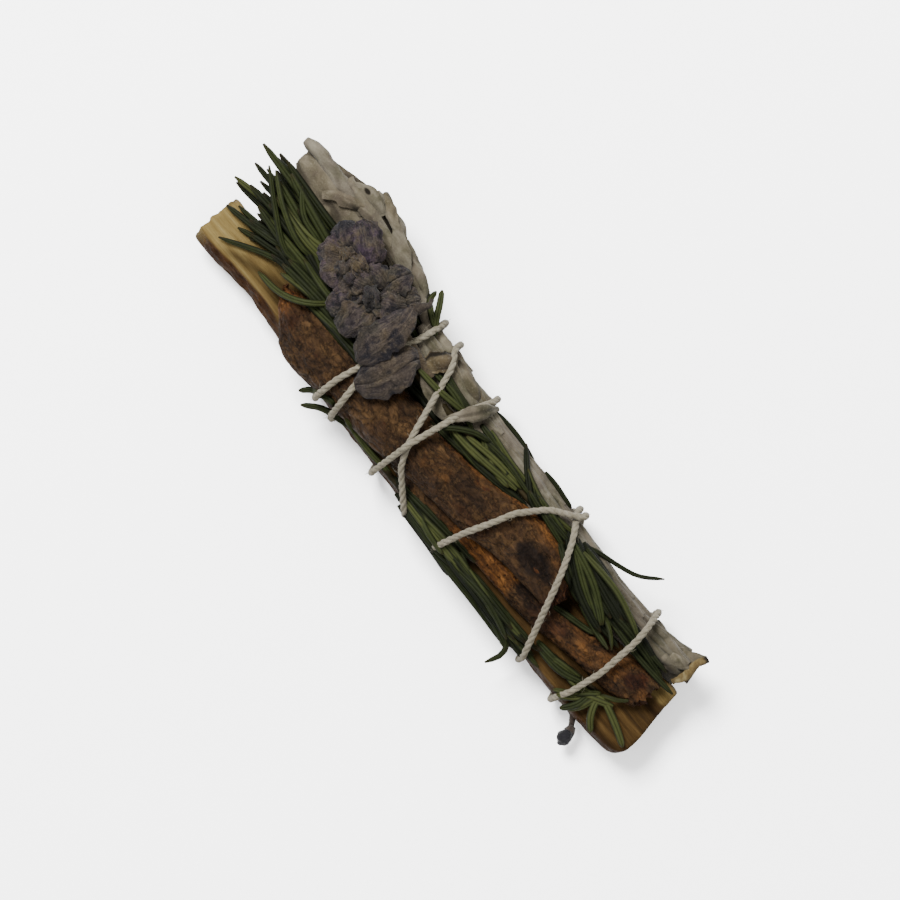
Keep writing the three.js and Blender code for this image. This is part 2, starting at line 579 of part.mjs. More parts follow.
// The upper or lower side of the taut loop round a section, a twine's radius off it.
function tautSide(points, offset, upper) {
  const circle = steps(7).map((_, i) => [
    offset * Math.cos((Math.PI * i) / 4),
    offset * Math.sin((Math.PI * i) / 4),
  ]);
  const round = points.flatMap(([y, z]) => circle.map(([dy, dz]) => [y + dy, z + dz]));
  const sign = upper ? 1 : -1;
  round.sort((a, b) => a[0] - b[0] || sign * (a[1] - b[1]));
  const chain = [];
  for (const p of round) {
    const turnsOut = ([ax, az], [bx, bz]) =>
      sign * ((bx - ax) * (p[1] - az) - (bz - az) * (p[0] - ax)) >= 0;
    while (chain.length > 1 && turnsOut(chain.at(-2), chain.at(-1))) chain.pop();
    chain.push(p);
  }
  return chain;
}

// The chain with crowded points left out and long spans divided.
function evenly(chain, least, most) {
  const kept = [chain[0]];
  const gap = (p, q) => Math.hypot(q[0] - p[0], q[1] - p[1]);
  for (const p of chain.slice(1)) {
    const last = kept.at(-1);
    if (gap(last, p) < least) continue;
    const parts = Math.ceil(gap(last, p) / most);
    const between = (share) => [mix(last[0], p[0], share), mix(last[1], p[1], share)];
    for (let k = 1; k <= parts; k++) kept.push(between(k / parts));
  }
  return kept;
}

function twinePass(solids, pairs, upper) {
  const route = along(pairs);
  const chain = tautSide(sectionPoints(solids, route), TWINE_DIAMETER / 2 + CLEARANCE, upper);
  return evenly(chain, 1.25, 7).map(([y, z]) => at(route(y), y, z));
}

// One turn after another, each the front pass and the return under the stick to the next front pass.
function twineTurns(solids) {
  return PASSES.map((pass, i) => {
    const next = PASSES[(i + 1) % PASSES.length];
    const front = twinePass(solids, pass, true);
    const back = twinePass(solids, [next[0], pass.at(-1)], false).reverse();
    return [...front, ...back.slice(1, -1)];
  });
}

function twine(turns, swell = 0) {
  const points = turns.flat();
  const path = new THREE.CatmullRomCurve3(points, true, "centripetal");
  const ring = (k) => {
    const share = (k % points.length) / points.length;
    const tangent = path.getTangent(share);
    const outward = new THREE.Vector3().crossVectors(tangent, at(1, 0, 0)).normalize();
    const sideways = new THREE.Vector3().crossVectors(outward, tangent);
    return steps(5).map((_, j) =>
      path
        .getPoint(share)
        .addScaledVector(outward, (TWINE_DIAMETER / 2 + swell) * Math.cos((Math.PI * j) / 3))
        .addScaledVector(sideways, (TWINE_DIAMETER / 2 + swell) * Math.sin((Math.PI * j) / 3)),
    );
  };
  let start = 0;
  const lengths = turns.map((turn) => {
    start += turn.length;
    return loft(Array.from({ length: turn.length + 1 }, (_, k) => ring(start - turn.length + k)));
  });
  const lump = rod(curve(KNOT_LUMP), (t) => swell + mix(0.8, 1.3, Math.sin(Math.PI * t)), 4);
  const tails = TAILS.map((points) => rod(curve(points), () => TWINE_DIAMETER / 2 + swell, 3));
  return largest(fuse([...lengths, lump, ...tails]));
}

// Materials, in the colours of the dried plants
const MATERIALS = {
  palo_wood: { color: 0xc2a468, roughness: 0.75 },
  cinnamon_bark: { color: 0x6b4a33, roughness: 0.9 },
  sage_leaf: { color: 0xa9a594, roughness: 0.95 },
  rosemary_needle: { color: 0x4b5230, roughness: 0.7 },
  larkspur_petal: { color: 0x5d5866, roughness: 0.9 },
  cotton_twine: { color: 0xd2cbbb, roughness: 0.95 },
};

const bundle = new THREE.Group();

function add(name, solid, material) {
  const { vertProperties, triVerts } = solid.getMesh();
  const geometry = new THREE.BufferGeometry()
    .setAttribute("position", new THREE.BufferAttribute(new Float32Array(vertProperties), 3))
    .setIndex(new THREE.BufferAttribute(new Uint32Array(triVerts), 1));
  const mesh = new THREE.Mesh(geometry, new THREE.MeshStandardMaterial(MATERIALS[material]));
  mesh.name = name;
  bundle.add(mesh);
}

// A solid grown by a clearance on every side, for cutting its neighbours back.
function swollen(solid, gap) {
  const { vertProperties, triVerts } = solid.getMesh();
  const geometry = new THREE.BufferGeometry()
    .setAttribute("position", new THREE.BufferAttribute(vertProperties, 3))
    .setIndex(new THREE.BufferAttribute(triVerts, 1));
  geometry.computeVertexNormals();
  const { position, normal } = geometry.attributes;
  for (let i = 0; i < position.count; i++) {
    position.setXYZ(
      i,
      position.getX(i) + gap * normal.getX(i),
      position.getY(i) + gap * normal.getY(i),
      position.getZ(i) + gap * normal.getZ(i),
    );
  }
  return new wasm.Manifold(new wasm.Mesh({ numProp: 3, vertProperties: position.array, triVerts }));
}

const stickSolid = stick();
const outerBark = barkTile(OUTER_BARK, 16, OUTER_BARK_THICKNESS, 0.9);
const innerBark = barkTile(INNER_BARK, 13, INNER_BARK_THICKNESS, 0.6);
const wood = fuse([stickSolid, outerBark, innerBark].map((solid) => swollen(solid, CLEARANCE)));
const sageSolid = largest(sage().subtract(wood));

const twineSupports = [
  stickSolid, outerBark, innerBark, sageSolid,
  pad([-30, -6], () => 4.6, 9.9, 3.6, 2.4),
  pad([-8, 40], () => 6.4, 10.6, 2.4, 1.4),
  pad([-16, 30], () => -6.8, 7.8, 1.2, 1),
  pad([28, 44], () => -5.5, 8, 1, 0.8),
  rod(curve(SPIKE_STEM), () => 0.8, 6),
];
const turns = twineTurns(twineSupports);
const twineSolid = twine(turns);
const twineSwollen = twine(turns, CLEARANCE);

add("palo_santo_stick", stickSolid, "palo_wood");
add("cinnamon_bark_outer", outerBark, "cinnamon_bark");
add("cinnamon_bark_inner", innerBark, "cinnamon_bark");
add("twine_wrap", twineSolid, "cotton_twine");
const sageCut = largest(sageSolid.subtract(twineSwollen));
add("white_sage_roll", sageCut, "sage_leaf");
let taken = fuse([wood, twineSwollen, swollen(sageCut, CLEARANCE)]);
const spike = larkspur(taken);
add("larkspur_spike", spike, "larkspur_petal");
taken = fuse([taken, swollen(spike, CLEARANCE)]);
for (const [name, plan] of Object.entries(SPRIGS)) {
  const made = sprig(plan, taken);
  add("rosemary_sprig_" + name, made, "rosemary_needle");
  taken = fuse([taken, swollen(made, CLEARANCE)]);
}
add("larkspur_bud", bud(taken), "larkspur_petal");

// The origin is under the middle of the bundle, on the surface that it lies on.
const extent = new THREE.Box3().setFromObject(bundle);
const middle = extent.getCenter(at(0, 0, 0));
bundle.position.set(-middle.x, -middle.y, -extent.min.z);

export default bundle;
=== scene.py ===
# The looks of a tied sage smudge stick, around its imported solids.
# Lengths are millimetres in the bundle's own frame: X from the leafy head to the cut foot,
# Y towards the white sage, Z up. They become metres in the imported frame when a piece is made.

import math

import bpy
import numpy as np
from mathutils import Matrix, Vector


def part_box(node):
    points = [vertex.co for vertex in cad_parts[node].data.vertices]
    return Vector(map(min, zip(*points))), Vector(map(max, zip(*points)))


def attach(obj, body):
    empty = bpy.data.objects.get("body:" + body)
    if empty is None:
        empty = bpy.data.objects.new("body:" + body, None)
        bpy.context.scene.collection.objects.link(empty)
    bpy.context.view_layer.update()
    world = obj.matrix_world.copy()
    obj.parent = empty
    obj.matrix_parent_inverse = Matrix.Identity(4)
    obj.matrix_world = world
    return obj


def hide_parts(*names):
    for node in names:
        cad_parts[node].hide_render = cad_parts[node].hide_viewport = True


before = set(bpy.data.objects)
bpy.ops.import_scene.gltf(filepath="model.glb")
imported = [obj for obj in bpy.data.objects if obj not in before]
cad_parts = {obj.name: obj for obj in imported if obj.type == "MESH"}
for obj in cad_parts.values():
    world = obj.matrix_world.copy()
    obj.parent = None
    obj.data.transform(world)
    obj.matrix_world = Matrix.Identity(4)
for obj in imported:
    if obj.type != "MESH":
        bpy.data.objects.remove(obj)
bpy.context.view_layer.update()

# The stick's ends, its far side at the foot, and its faces
HEAD = -50.0
FOOT = 50.0
FAR_FOOT = 5.9
STICK_BOTTOM = 1.5
STICK_TOP = 7.0

# The bundle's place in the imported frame, read from the stick's highest corner
STICK_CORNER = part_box("palo_santo_stick")[1]
SHIFT = np.array([STICK_CORNER.x * 1000 - FOOT, STICK_CORNER.y * 1000 - FAR_FOOT, 0])

# The two ends of the sage roll
ROLL_HEAD = -24
ROLL_FOOT = 46.6

DICE = np.random.default_rng(20)
PERMUTED = np.random.default_rng(5).permutation(256)
VALUES = np.random.default_rng(6).uniform(-1, 1, 256)


# Numbers that vary smoothly

def mix(a, b, t):
    return a + (b - a) * t


def smooth(x, low, high):
    t = np.clip((np.asarray(x, float) - low) / (high - low), 0, 1)
    return t * t * (3 - 2 * t)


def along(pairs):
    """A smooth function through (position, value) pairs, level beyond its ends."""
    xs = np.array([p[0] for p in pairs], float)
    ys = np.array([p[1] for p in pairs], float)
    after = np.minimum(np.arange(len(xs)) + 1, len(xs) - 1)
    before = np.maximum(np.arange(len(xs)) - 1, 0)
    slope = (ys[after] - ys[before]) / (xs[after] - xs[before])

    def value(x):
        x = np.clip(x, xs[0], xs[-1])
        i = np.clip(np.searchsorted(xs, x, side="right") - 1, 0, len(xs) - 2)
        wide = xs[i + 1] - xs[i]
        t = (x - xs[i]) / wide
        bend = wide * t * (1 - t) * ((1 - t) * slope[i] - t * slope[i + 1])
        return ys[i] + (ys[i + 1] - ys[i]) * t * t * (3 - 2 * t) + bend

    return value


def noise(p, size, seed=0):
    """Smooth random values from -1 to 1 at points, with lumps of a size in millimetres."""
    q = np.asarray(p, float) / np.asarray(size, float) + 100 + 17.31 * seed
    cell = np.floor(q).astype(int)
    f = q - cell
    f = f * f * (3 - 2 * f)
    total = 0
    for dx in (0, 1):
        wx = f[..., 0] if dx else 1 - f[..., 0]
        ix = PERMUTED[(cell[..., 0] + dx) & 255]
        for dy in (0, 1):
            wy = f[..., 1] if dy else 1 - f[..., 1]
            iy = PERMUTED[(ix + cell[..., 1] + dy) & 255]
            for dz in (0, 1):
                wz = f[..., 2] if dz else 1 - f[..., 2]
                total = total + wx * wy * wz * VALUES[PERMUTED[(iy + cell[..., 2] + dz) & 255]]
    return total


def rough(p, size, seed=0, octaves=3):
    """Noise at several sizes, each half the one before."""
    size = np.asarray(size, float)
    return sum(noise(p, size / 2 ** k, seed + k) / 2 ** k for k in range(octaves))


def points(*parts):
    """Points from coordinate arrays that broadcast together."""
    return np.stack(np.broadcast_arrays(*[np.asarray(a, float) for a in parts]), -1)


def unit(v):
    return v / np.maximum(np.linalg.norm(v, axis=-1, keepdims=True), 1e-9)


def distances(line):
    """How far along a line each of its points is."""
    return np.concatenate([[0], np.cumsum(np.linalg.norm(np.diff(line, axis=0), axis=1))])


def read(line, run, t):
    """The line's points at distances t, where run holds the distances of its own points."""
    return np.stack([np.interp(t, run, axis) for axis in line.T], -1)


def plates(u, v, size, seed):
    """Irregular plates over a surface: the share from crack to plate's middle, and each plate's value."""
    u, v = u / size, v / size
    shake = np.random.default_rng(seed).uniform(0, 1, (2, 64, 64))
    level = np.random.default_rng(seed + 1).uniform(-1, 1, (64, 64))
    cell_u, cell_v = np.floor(u).astype(int), np.floor(v).astype(int)
    best = np.full(u.shape, 9.0)
    second = np.full(u.shape, 9.0)
    value = np.zeros(u.shape)
    for du in (-1, 0, 1):
        for dv in (-1, 0, 1):
            i, j = (cell_u + du) % 64, (cell_v + dv) % 64
            gap = np.hypot(cell_u + du + shake[0][i, j] - u, cell_v + dv + shake[1][i, j] - v)
            closer = gap < best
            second = np.where(closer, best, np.minimum(second, gap))
            value = np.where(closer, level[i, j], value)
            best = np.minimum(best, gap)
    return np.clip((second - best) * 2.5, 0, 1), value


class Path:
    """A centripetal curve through points, read at shares of its length."""

    def __init__(self, through):
        p = np.array(through, float)
        p = np.vstack([2 * p[0] - p[1], p, 2 * p[-1] - p[-2]])
        found = []
        share = np.linspace(0, 1, 21)[:-1, None]
        for a, b, c, d in zip(p, p[1:], p[2:], p[3:]):
            ab, bc, cd = (math.sqrt(max(np.linalg.norm(v), 1e-4)) for v in (b - a, c - b, d - c))
            out = bc * ((b - a) / ab - (c - a) / (ab + bc) + (c - b) / bc)
            into = bc * ((c - b) / bc - (d - b) / (bc + cd) + (d - c) / cd)
            cubic = 2 * b - 2 * c + out + into
            square = 3 * c - 3 * b - 2 * out - into
            found.append(b + out * share + square * share ** 2 + cubic * share ** 3)
        found.append(p[-2:-1])
        self.points = np.vstack(found)
        run = distances(self.points)
        self.length = run[-1]
        self.share = run / self.length

    def at(self, t):
        return read(self.points, self.share, np.clip(t, 0, 1))

    def tangent(self, t):
        return unit(self.at(np.minimum(t + 0.02, 1)) - self.at(np.maximum(t - 0.02, 0)))


# Meshes

class Pile:
    """Closed shells gathered into one mesh, with values kept at their points."""

    NAMES = ("along", "across", "tone", "stain")

    def __init__(self):
        self.points = []
        self.faces = []
        self.values = {name: [] for name in self.NAMES}
        self.count = 0

    def shell(self, p, faces, values):
        """Adds a shell of points and four-cornered faces, turned face out."""
        corners = p[faces]
        one = np.cross(corners[:, 1] - corners[:, 0], corners[:, 2] - corners[:, 0])
        two = np.cross(corners[:, 2] - corners[:, 0], corners[:, 3] - corners[:, 0])
        volume = ((one + two) * corners[:, 0]).sum()
        if volume < 0:
            faces = faces[:, ::-1]
        self.points.append(p)
        self.faces.append(faces + self.count)
        for name in self.NAMES:
            value = values.get(name, 0)
            self.values[name].append(np.broadcast_to(value, (len(p),)).astype(float))
        self.count += len(p)

    def tube(self, rings, **values):
        """A skin over rings of points, closed by a flat fan at both ends."""
        n, m = rings.shape[:2]
        a = np.arange(n * m).reshape(n, m)
        b = np.roll(a, -1, 1)
        sides = np.stack([a[:-1], b[:-1], b[1:], a[1:]], -1).reshape(-1, 4)
        half = np.arange(m // 2 - 1 + m % 2)
        caps = []
        for ring, turn in ((a[0], 1), (a[-1], -1)):
            quads = np.stack([ring[half], ring[half + 1], ring[-half - 2], ring[-half - 1]], -1)
            caps.append(quads[:, ::-turn])
        flat = {k: np.broadcast_to(v, (n, m)).ravel() for k, v in values.items()}
        self.shell(rings.reshape(-1, 3), np.vstack([sides, *caps]), flat)

    def sheet(self, top, thickness, **values):
        """A thin sheet under a grid of points, with a wall round its edge."""
        onward = np.gradient(top, axis=0)
        sideways = np.gradient(top, axis=1)
        normal = unit(np.cross(onward, sideways))
        if normal[..., 2].mean() < 0:
            normal = -normal
        thickness = np.broadcast_to(thickness, top.shape[:2])[..., None]
        under = top - normal * thickness
        rings = np.concatenate([top, under[:, ::-1]], 1)
        both = {}
        for name, value in values.items():
            value = np.broadcast_to(value, top.shape[:2])
            both[name] = np.concatenate([value, value[:, ::-1]], 1)
        self.tube(rings, **both)

    def make(self, name, node, material, smooth_to=60):
        """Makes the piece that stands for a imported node."""
        co = (np.vstack(self.points) + SHIFT) / 1000
        faces = np.vstack(self.faces)
        mesh = bpy.data.meshes.new(name)
        mesh.vertices.add(len(co))
        mesh.vertices.foreach_set("co", co.astype(np.float32).ravel())
        mesh.loops.add(faces.size)
        mesh.loops.foreach_set("vertex_index", faces.astype(np.int32).ravel())
        mesh.polygons.add(len(faces))
        mesh.polygons.foreach_set("loop_start", np.arange(0, faces.size, 4, dtype=np.int32))
        mesh.update(calc_edges=True)
        mesh.validate()
        for key in self.NAMES:
            layer = mesh.attributes.new(key, "FLOAT", "POINT")
            layer.data.foreach_set("value", np.concatenate(self.values[key]).astype(np.float32))
        mesh.polygons.foreach_set("use_smooth", np.ones(len(mesh.polygons), bool))
        mesh.set_sharp_from_angle(angle=math.radians(smooth_to))
        mesh.materials.append(material)
        piece = bpy.data.objects.new(name, mesh)
        bpy.context.scene.collection.objects.link(piece)
        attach(piece, "root")
        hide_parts(node)


def framed(path, t):
    """A path's points, level sideways directions and lifts at shares of its length."""
    tangent = path.tangent(t)
    side = unit(np.cross([0, 0, 1.0], tangent))
    return path.at(t), side, np.cross(tangent, side)


def round_rod(pile, path, radius, count, sides=10, lumps=0.0, seed=0, **values):
    """A round rod along a path, its radius a function of the share along it."""
    t = np.linspace(0, 1, count)
    p, side, lift = framed(path, t)
    turn = np.linspace(0, 2 * math.pi, sides, endpoint=False)
    r = (radius(t) + 0 * t)[:, None, None]
    out = side[:, None] * np.cos(turn)[None, :, None] + lift[:, None] * np.sin(turn)[None, :, None]
    rings = p[:, None] + out * r
    if lumps:
        rings = rings + out * (lumps * rough(rings, 0.9, seed))[..., None]
    pile.tube(rings, along=t[:, None], **values)


# Materials

class Finish:
    """A procedural material under construction.

    Its colours are screen values of 0 to 255, made linear and dimmed by its gains to suit the light.
    """

    def __init__(self, name, *gains):
        self.gains = gains
        self.material = bpy.data.materials.new(name)
        self.material.use_nodes = True
        self.tree = self.material.node_tree
        self.tree.nodes.clear()
        place = self.node("ShaderNodeTexCoord")
        scale = self.node("ShaderNodeVectorMath", operation="SCALE")
        scale.inputs["Scale"].default_value = 1000
        self.tree.links.new(place.outputs["Object"], scale.inputs[0])
        self.here = scale.outputs["Vector"]

    def dyed(self, screen):
        linear = [(c / 255 / 12.92) if c < 11 else ((c / 255 + 0.055) / 1.055) ** 2.4 for c in screen]
        return (*[min(c * gain, 1.0) for c, gain in zip(linear, self.gains)], 1.0)

    def node(self, kind, **settings):
        made = self.tree.nodes.new(kind)
        for key, value in settings.items():
            setattr(made, key, value)
        return made

    def feed(self, socket, value):
        if isinstance(value, bpy.types.NodeSocket):
            self.tree.links.new(value, socket)
        else:
            socket.default_value = value

    def value(self, name):
        return self.node("ShaderNodeAttribute", attribute_name=name).outputs["Fac"]

    def stretched(self, x, y, z):
        made = self.node("ShaderNodeVectorMath", operation="MULTIPLY")
        self.feed(made.inputs[0], self.here)
        made.inputs[1].default_value = (1 / x, 1 / y, 1 / z)
        return made.outputs["Vector"]

    def joined(self, x, y, z):
        made = self.node("ShaderNodeCombineXYZ")
        for socket, value in zip(made.inputs, (x, y, z)):
            self.feed(socket, value)
        return made.outputs["Vector"]

    def lengthwise(self):
        made = self.node("ShaderNodeSeparateXYZ")
        self.feed(made.inputs[0], self.here)
        return self.sums("SUBTRACT", made.outputs["X"], float(SHIFT[0]))

    def noise(self, size, detail=3.0, roughness=0.55, where=None, distortion=0.0):
        made = self.node("ShaderNodeTexNoise")
        self.feed(made.inputs["Vector"], self.here if where is None else where)
        made.inputs["Scale"].default_value = 1 / size
        made.inputs["Detail"].default_value = detail
        made.inputs["Roughness"].default_value = roughness
        made.inputs["Distortion"].default_value = distortion
        return made.outputs["Fac"]

    def sums(self, operation, a, b=0.0, c=0.0):
        made = self.node("ShaderNodeMath", operation=operation)
        for socket, value in zip(made.inputs, (a, b, c)):
            self.feed(socket, value)
        return made.outputs[0]

    def span(self, value, low, high, to_low=0.0, to_high=1.0):
        made = self.node("ShaderNodeMapRange", interpolation_type="SMOOTHSTEP")
        for key, item in (("Value", value), ("From Min", low), ("From Max", high),
                          ("To Min", to_low), ("To Max", to_high)):
            self.feed(made.inputs[key], item)
        return made.outputs["Result"]

    def ramp(self, value, *stops):
        """Colours along a value from 0 to 1: each stop is a place and its colour."""
        made = self.node("ShaderNodeValToRGB")
        band = made.color_ramp.elements
        while len(band) < len(stops):
            band.new(0.5)
        for element, (place, *screen) in zip(band, stops):
            element.position = place
            element.color = self.dyed(screen)
        self.feed(made.inputs["Fac"], value)
        return made.outputs["Color"]

    def blend(self, share, a, b):
        made = self.node("ShaderNodeMix", data_type="RGBA")
        self.feed(made.inputs[0], share)
        for socket, colour in ((made.inputs[6], a), (made.inputs[7], b)):
            self.feed(socket, self.dyed(colour) if isinstance(colour, tuple) else colour)
        return made.outputs[2]

    def spotted(self, base, *spots):
        """Blends more colours in, each by a value, the two ends of its span, its share and the colour."""
        for value, low, high, share, colour in spots:
            base = self.blend(self.span(value, low, high, 0, share), base, colour)
        return base

    def finish(self, base, roughness, height=None, depth=0.1, sheen=0.0, specular=0.3):
        shader = self.node("ShaderNodeBsdfPrincipled")
        self.feed(shader.inputs["Base Color"], base)
        self.feed(shader.inputs["Roughness"], roughness)
        shader.inputs["Specular IOR Level"].default_value = specular
        shader.inputs["Sheen Weight"].default_value = sheen
        shader.inputs["Sheen Roughness"].default_value = 0.5
        if height is not None:
            bump = self.node("ShaderNodeBump")
            bump.inputs["Strength"].default_value = 1.0
            bump.inputs["Distance"].default_value = depth / 1000
            self.feed(bump.inputs["Height"], height)
            self.feed(shader.inputs["Normal"], bump.outputs["Normal"])
        out = self.node("ShaderNodeOutputMaterial")
        self.feed(out.inputs["Surface"], shader.outputs["BSDF"])
        return self.material


def wood_finish():
    """Split palo santo: pale by tone 0, amber by tone 1, darker by across, which also carries painted
    shadows; the bark share turns it to bark.
    """
    f = Finish("palo_santo_wood", 0.158, 0.152, 0.13)
    grain = f.noise(1, 5, 0.6, f.stretched(14, 0.9, 0.9), 0.3)
    fine = f.noise(1, 3, 0.7, f.stretched(5, 0.16, 0.16))
    wide = f.noise(1, 3, 0.55, f.stretched(9, 2.6, 2.6), 0.6)
    pale = f.ramp(grain, (0.25, 140, 116, 68), (0.42, 172, 148, 96),
                  (0.6, 192, 170, 116), (0.8, 212, 194, 146))
    amber = f.ramp(grain, (0.28, 54, 39, 22), (0.45, 86, 65, 38), (0.6, 112, 87, 53), (0.78, 146, 119, 79))
    wood = f.spotted(f.blend(f.value("tone"), pale, amber),
                     (wide, 0.52, 0.7, 0.4, (96, 70, 38)), (fine, 0.54, 0.75, 0.3, (80, 56, 30)))
    # Darker edges, and painted shadows, by across
    wood = f.blend(f.value("across"), wood, (46, 30, 15))
    flakes = f.noise(0.8, 5, 0.7, f.stretched(2.4, 1, 1))
    bark = f.ramp(flakes, (0.3, 44, 27, 13), (0.5, 80, 51, 26), (0.7, 116, 80, 46))
    base = f.blend(f.value("stain"), wood, bark)
    height = f.sums("ADD", fine, f.sums("MULTIPLY", flakes, f.value("stain")))
    return f.finish(base, f.span(grain, 0.3, 0.7, 0.5, 0.7), height, 0.16, specular=0.02)


def bark_finish(name):
    """Cinnamon bark: cork greys and browns; tone brings out orange, the dark share darkens it for dark
    patches and cracks and for painted shade on the near rims, across reddens.
    """
    f = Finish(name, 0.248, 0.216, 0.15)
    patch = f.noise(3.4, 5, 0.65, f.stretched(1.5, 1, 1), 0.6)
    flakes = f.noise(0.8, 5, 0.72, f.stretched(1.7, 1, 1), 0.8)
    grit = f.noise(0.3, 3, 0.65)
    streak = f.noise(1, 4, 0.65, f.stretched(6, 0.6, 0.7), 0.7)
    plate = f.value("along")
    cork = f.ramp(f.sums("ADD", f.sums("MULTIPLY", patch, 0.75), f.sums("MULTIPLY", plate, 0.25)),
                  (0.3, 36, 25, 17), (0.45, 62, 45, 31), (0.56, 80, 61, 43), (0.7, 106, 84, 62))
    cork = f.spotted(cork, (flakes, 0.5, 0.66, 0.42, (40, 27, 18)),
                     (flakes, 0.45, 0.36, 0.16, (88, 60, 38)), (grit, 0.58, 0.72, 0.45, (122, 100, 74)))
    wander = f.noise(2.4, 5, 0.62, f.stretched(1.25, 1, 1), 0.4)
    crack = f.span(f.sums("ABSOLUTE", f.sums("SUBTRACT", wander, 0.5)), 0.004, 0.02, 1, 0)
    ridge = f.span(f.sums("ABSOLUTE", f.sums("SUBTRACT", wander, 0.53)), 0.002, 0.016, 1, 0)
    cork = f.blend(f.sums("MULTIPLY", ridge, 0.45), cork, (124, 102, 78))
    cork = f.blend(f.sums("MULTIPLY", crack, 0.4), cork, (26, 17, 11))
    wrinkle = f.noise(1, 4, 0.7, f.stretched(3.4, 0.4, 0.5), 0.6)
    cork = f.spotted(cork, (wrinkle, 0.54, 0.66, 0.4, (110, 86, 62)),
                     (wrinkle, 0.46, 0.36, 0.4, (38, 26, 17)))
    warm = f.ramp(streak, (0.3, 82, 54, 31), (0.47, 112, 76, 43), (0.6, 134, 93, 53), (0.75, 156, 117, 74))
    warm = f.blend(f.span(flakes, 0.55, 0.7, 0, 0.36), warm, (66, 42, 23))
    warm = f.blend(f.sums("MULTIPLY", crack, 0.35), warm, (34, 20, 11))
    red = f.ramp(streak, (0.3, 26, 12, 8), (0.5, 58, 30, 18), (0.7, 96, 60, 36))
    uneven = f.sums("ADD", f.value("tone"), f.sums("MULTIPLY_ADD", patch, 1.1, -0.55))
    base = f.blend(f.span(uneven, 0.25, 0.75), cork, warm)
    base = f.blend(f.value("across"), base, red)
    # Dark patches and cracks, and painted shade on the near rims
    base = f.blend(f.value("stain"), base, (20, 12, 8))
    height = f.sums("ADD", flakes, f.sums("MULTIPLY_ADD", grit, 0.5, f.sums("MULTIPLY", wrinkle, 0.8)))
    height = f.sums("ADD", height, f.sums("MULTIPLY_ADD", ridge, 0.3, f.sums("MULTIPLY", crack, -0.5)))
    return f.finish(base, f.span(flakes, 0.3, 0.7, 0.6, 0.85), height, 0.35, specular=0.06)


def sage_finish():
    """Dried white sage: matt silver felt; tone turns it tan, across makes it straw, and the dark share
    darkens it, for painted shade in its gaps, folds and hollows and for the darker foot of the roll.
    """
    f = Finish("white_sage_leaf", 0.18, 0.175, 0.162)
    patch = f.noise(2.6, 4, 0.6, f.stretched(1.7, 1, 1), 0.5)
    felt = f.noise(0.3, 3, 0.7)
    fold = f.noise(1, 3, 0.6, f.stretched(5, 0.9, 0.9), 0.8)
    tint = f.noise(3.4, 3, 0.55)
    silver = f.ramp(patch, (0.28, 94, 90, 74), (0.45, 126, 121, 104),
                    (0.58, 152, 146, 130), (0.76, 182, 176, 161))
    pink = f.ramp(patch, (0.3, 104, 94, 88), (0.55, 142, 133, 122), (0.75, 176, 167, 154))
    olive = f.ramp(patch, (0.3, 72, 72, 54), (0.55, 112, 110, 90), (0.75, 146, 143, 124))
    silver = f.spotted(silver, (tint, 0.45, 0.6, 0.7, pink), (tint, 0.44, 0.34, 0.85, olive))
    tan = f.ramp(patch, (0.3, 66, 54, 37), (0.5, 108, 92, 66), (0.75, 150, 134, 104))
    base = f.spotted(f.blend(f.value("tone"), silver, tan),
                     (fold, 0.56, 0.7, 0.25, (84, 80, 64)), (felt, 0.52, 0.74, 0.3, (190, 184, 168)))
    straw = f.ramp(patch, (0.3, 70, 50, 30), (0.5, 134, 115, 76), (0.68, 180, 166, 126))
    base = f.blend(f.value("across"), base, straw)
    # Painted shade in gaps, folds and hollows, and the roll's darker foot
    base = f.blend(f.value("stain"), base, (36, 31, 22))
    height = f.sums("ADD", f.sums("MULTIPLY", fold, 0.8), felt)
    return f.finish(base, 0.88, height, 0.12, sheen=0.04, specular=0.04)


def needle_finish():
    """Dried rosemary: dark green to olive by tone, with painted shade in the midrib groove and down the
    rolled edges, and woody stems.
    """
    f = Finish("rosemary_needle", 0.134, 0.136, 0.096)
    mottle = f.noise(1.2, 4, 0.6)
    shade = f.sums("ADD", f.value("tone"), f.sums("MULTIPLY_ADD", mottle, 0.6, -0.3))
    green = f.ramp(shade, (0.0, 30, 35, 18), (0.3, 50, 57, 31), (0.6, 70, 78, 45), (1.0, 100, 105, 66))
    edge = f.sums("ABSOLUTE", f.value("across"))
    # Painted shade down the rolled edges and in the midrib groove, while the rounded back stays lighter
    green = f.blend(f.span(edge, 0.55, 0.95, 0, 0.68), green, (16, 20, 9))
    green = f.blend(f.span(edge, 0.0, 0.16, 0.42, 0), green, (20, 24, 11))
    green = f.blend(f.span(f.value("along"), 0.92, 1.0, 0, 0.5), green, (66, 52, 26))
    wood = f.ramp(mottle, (0.35, 40, 29, 18), (0.6, 86, 68, 46))
    base = f.blend(f.value("stain"), green, wood)
    fine = f.noise(0.2, 2, 0.6)
    return f.finish(base, f.span(mottle, 0.3, 0.7, 0.6, 0.75), fine, 0.05, specular=0.05)


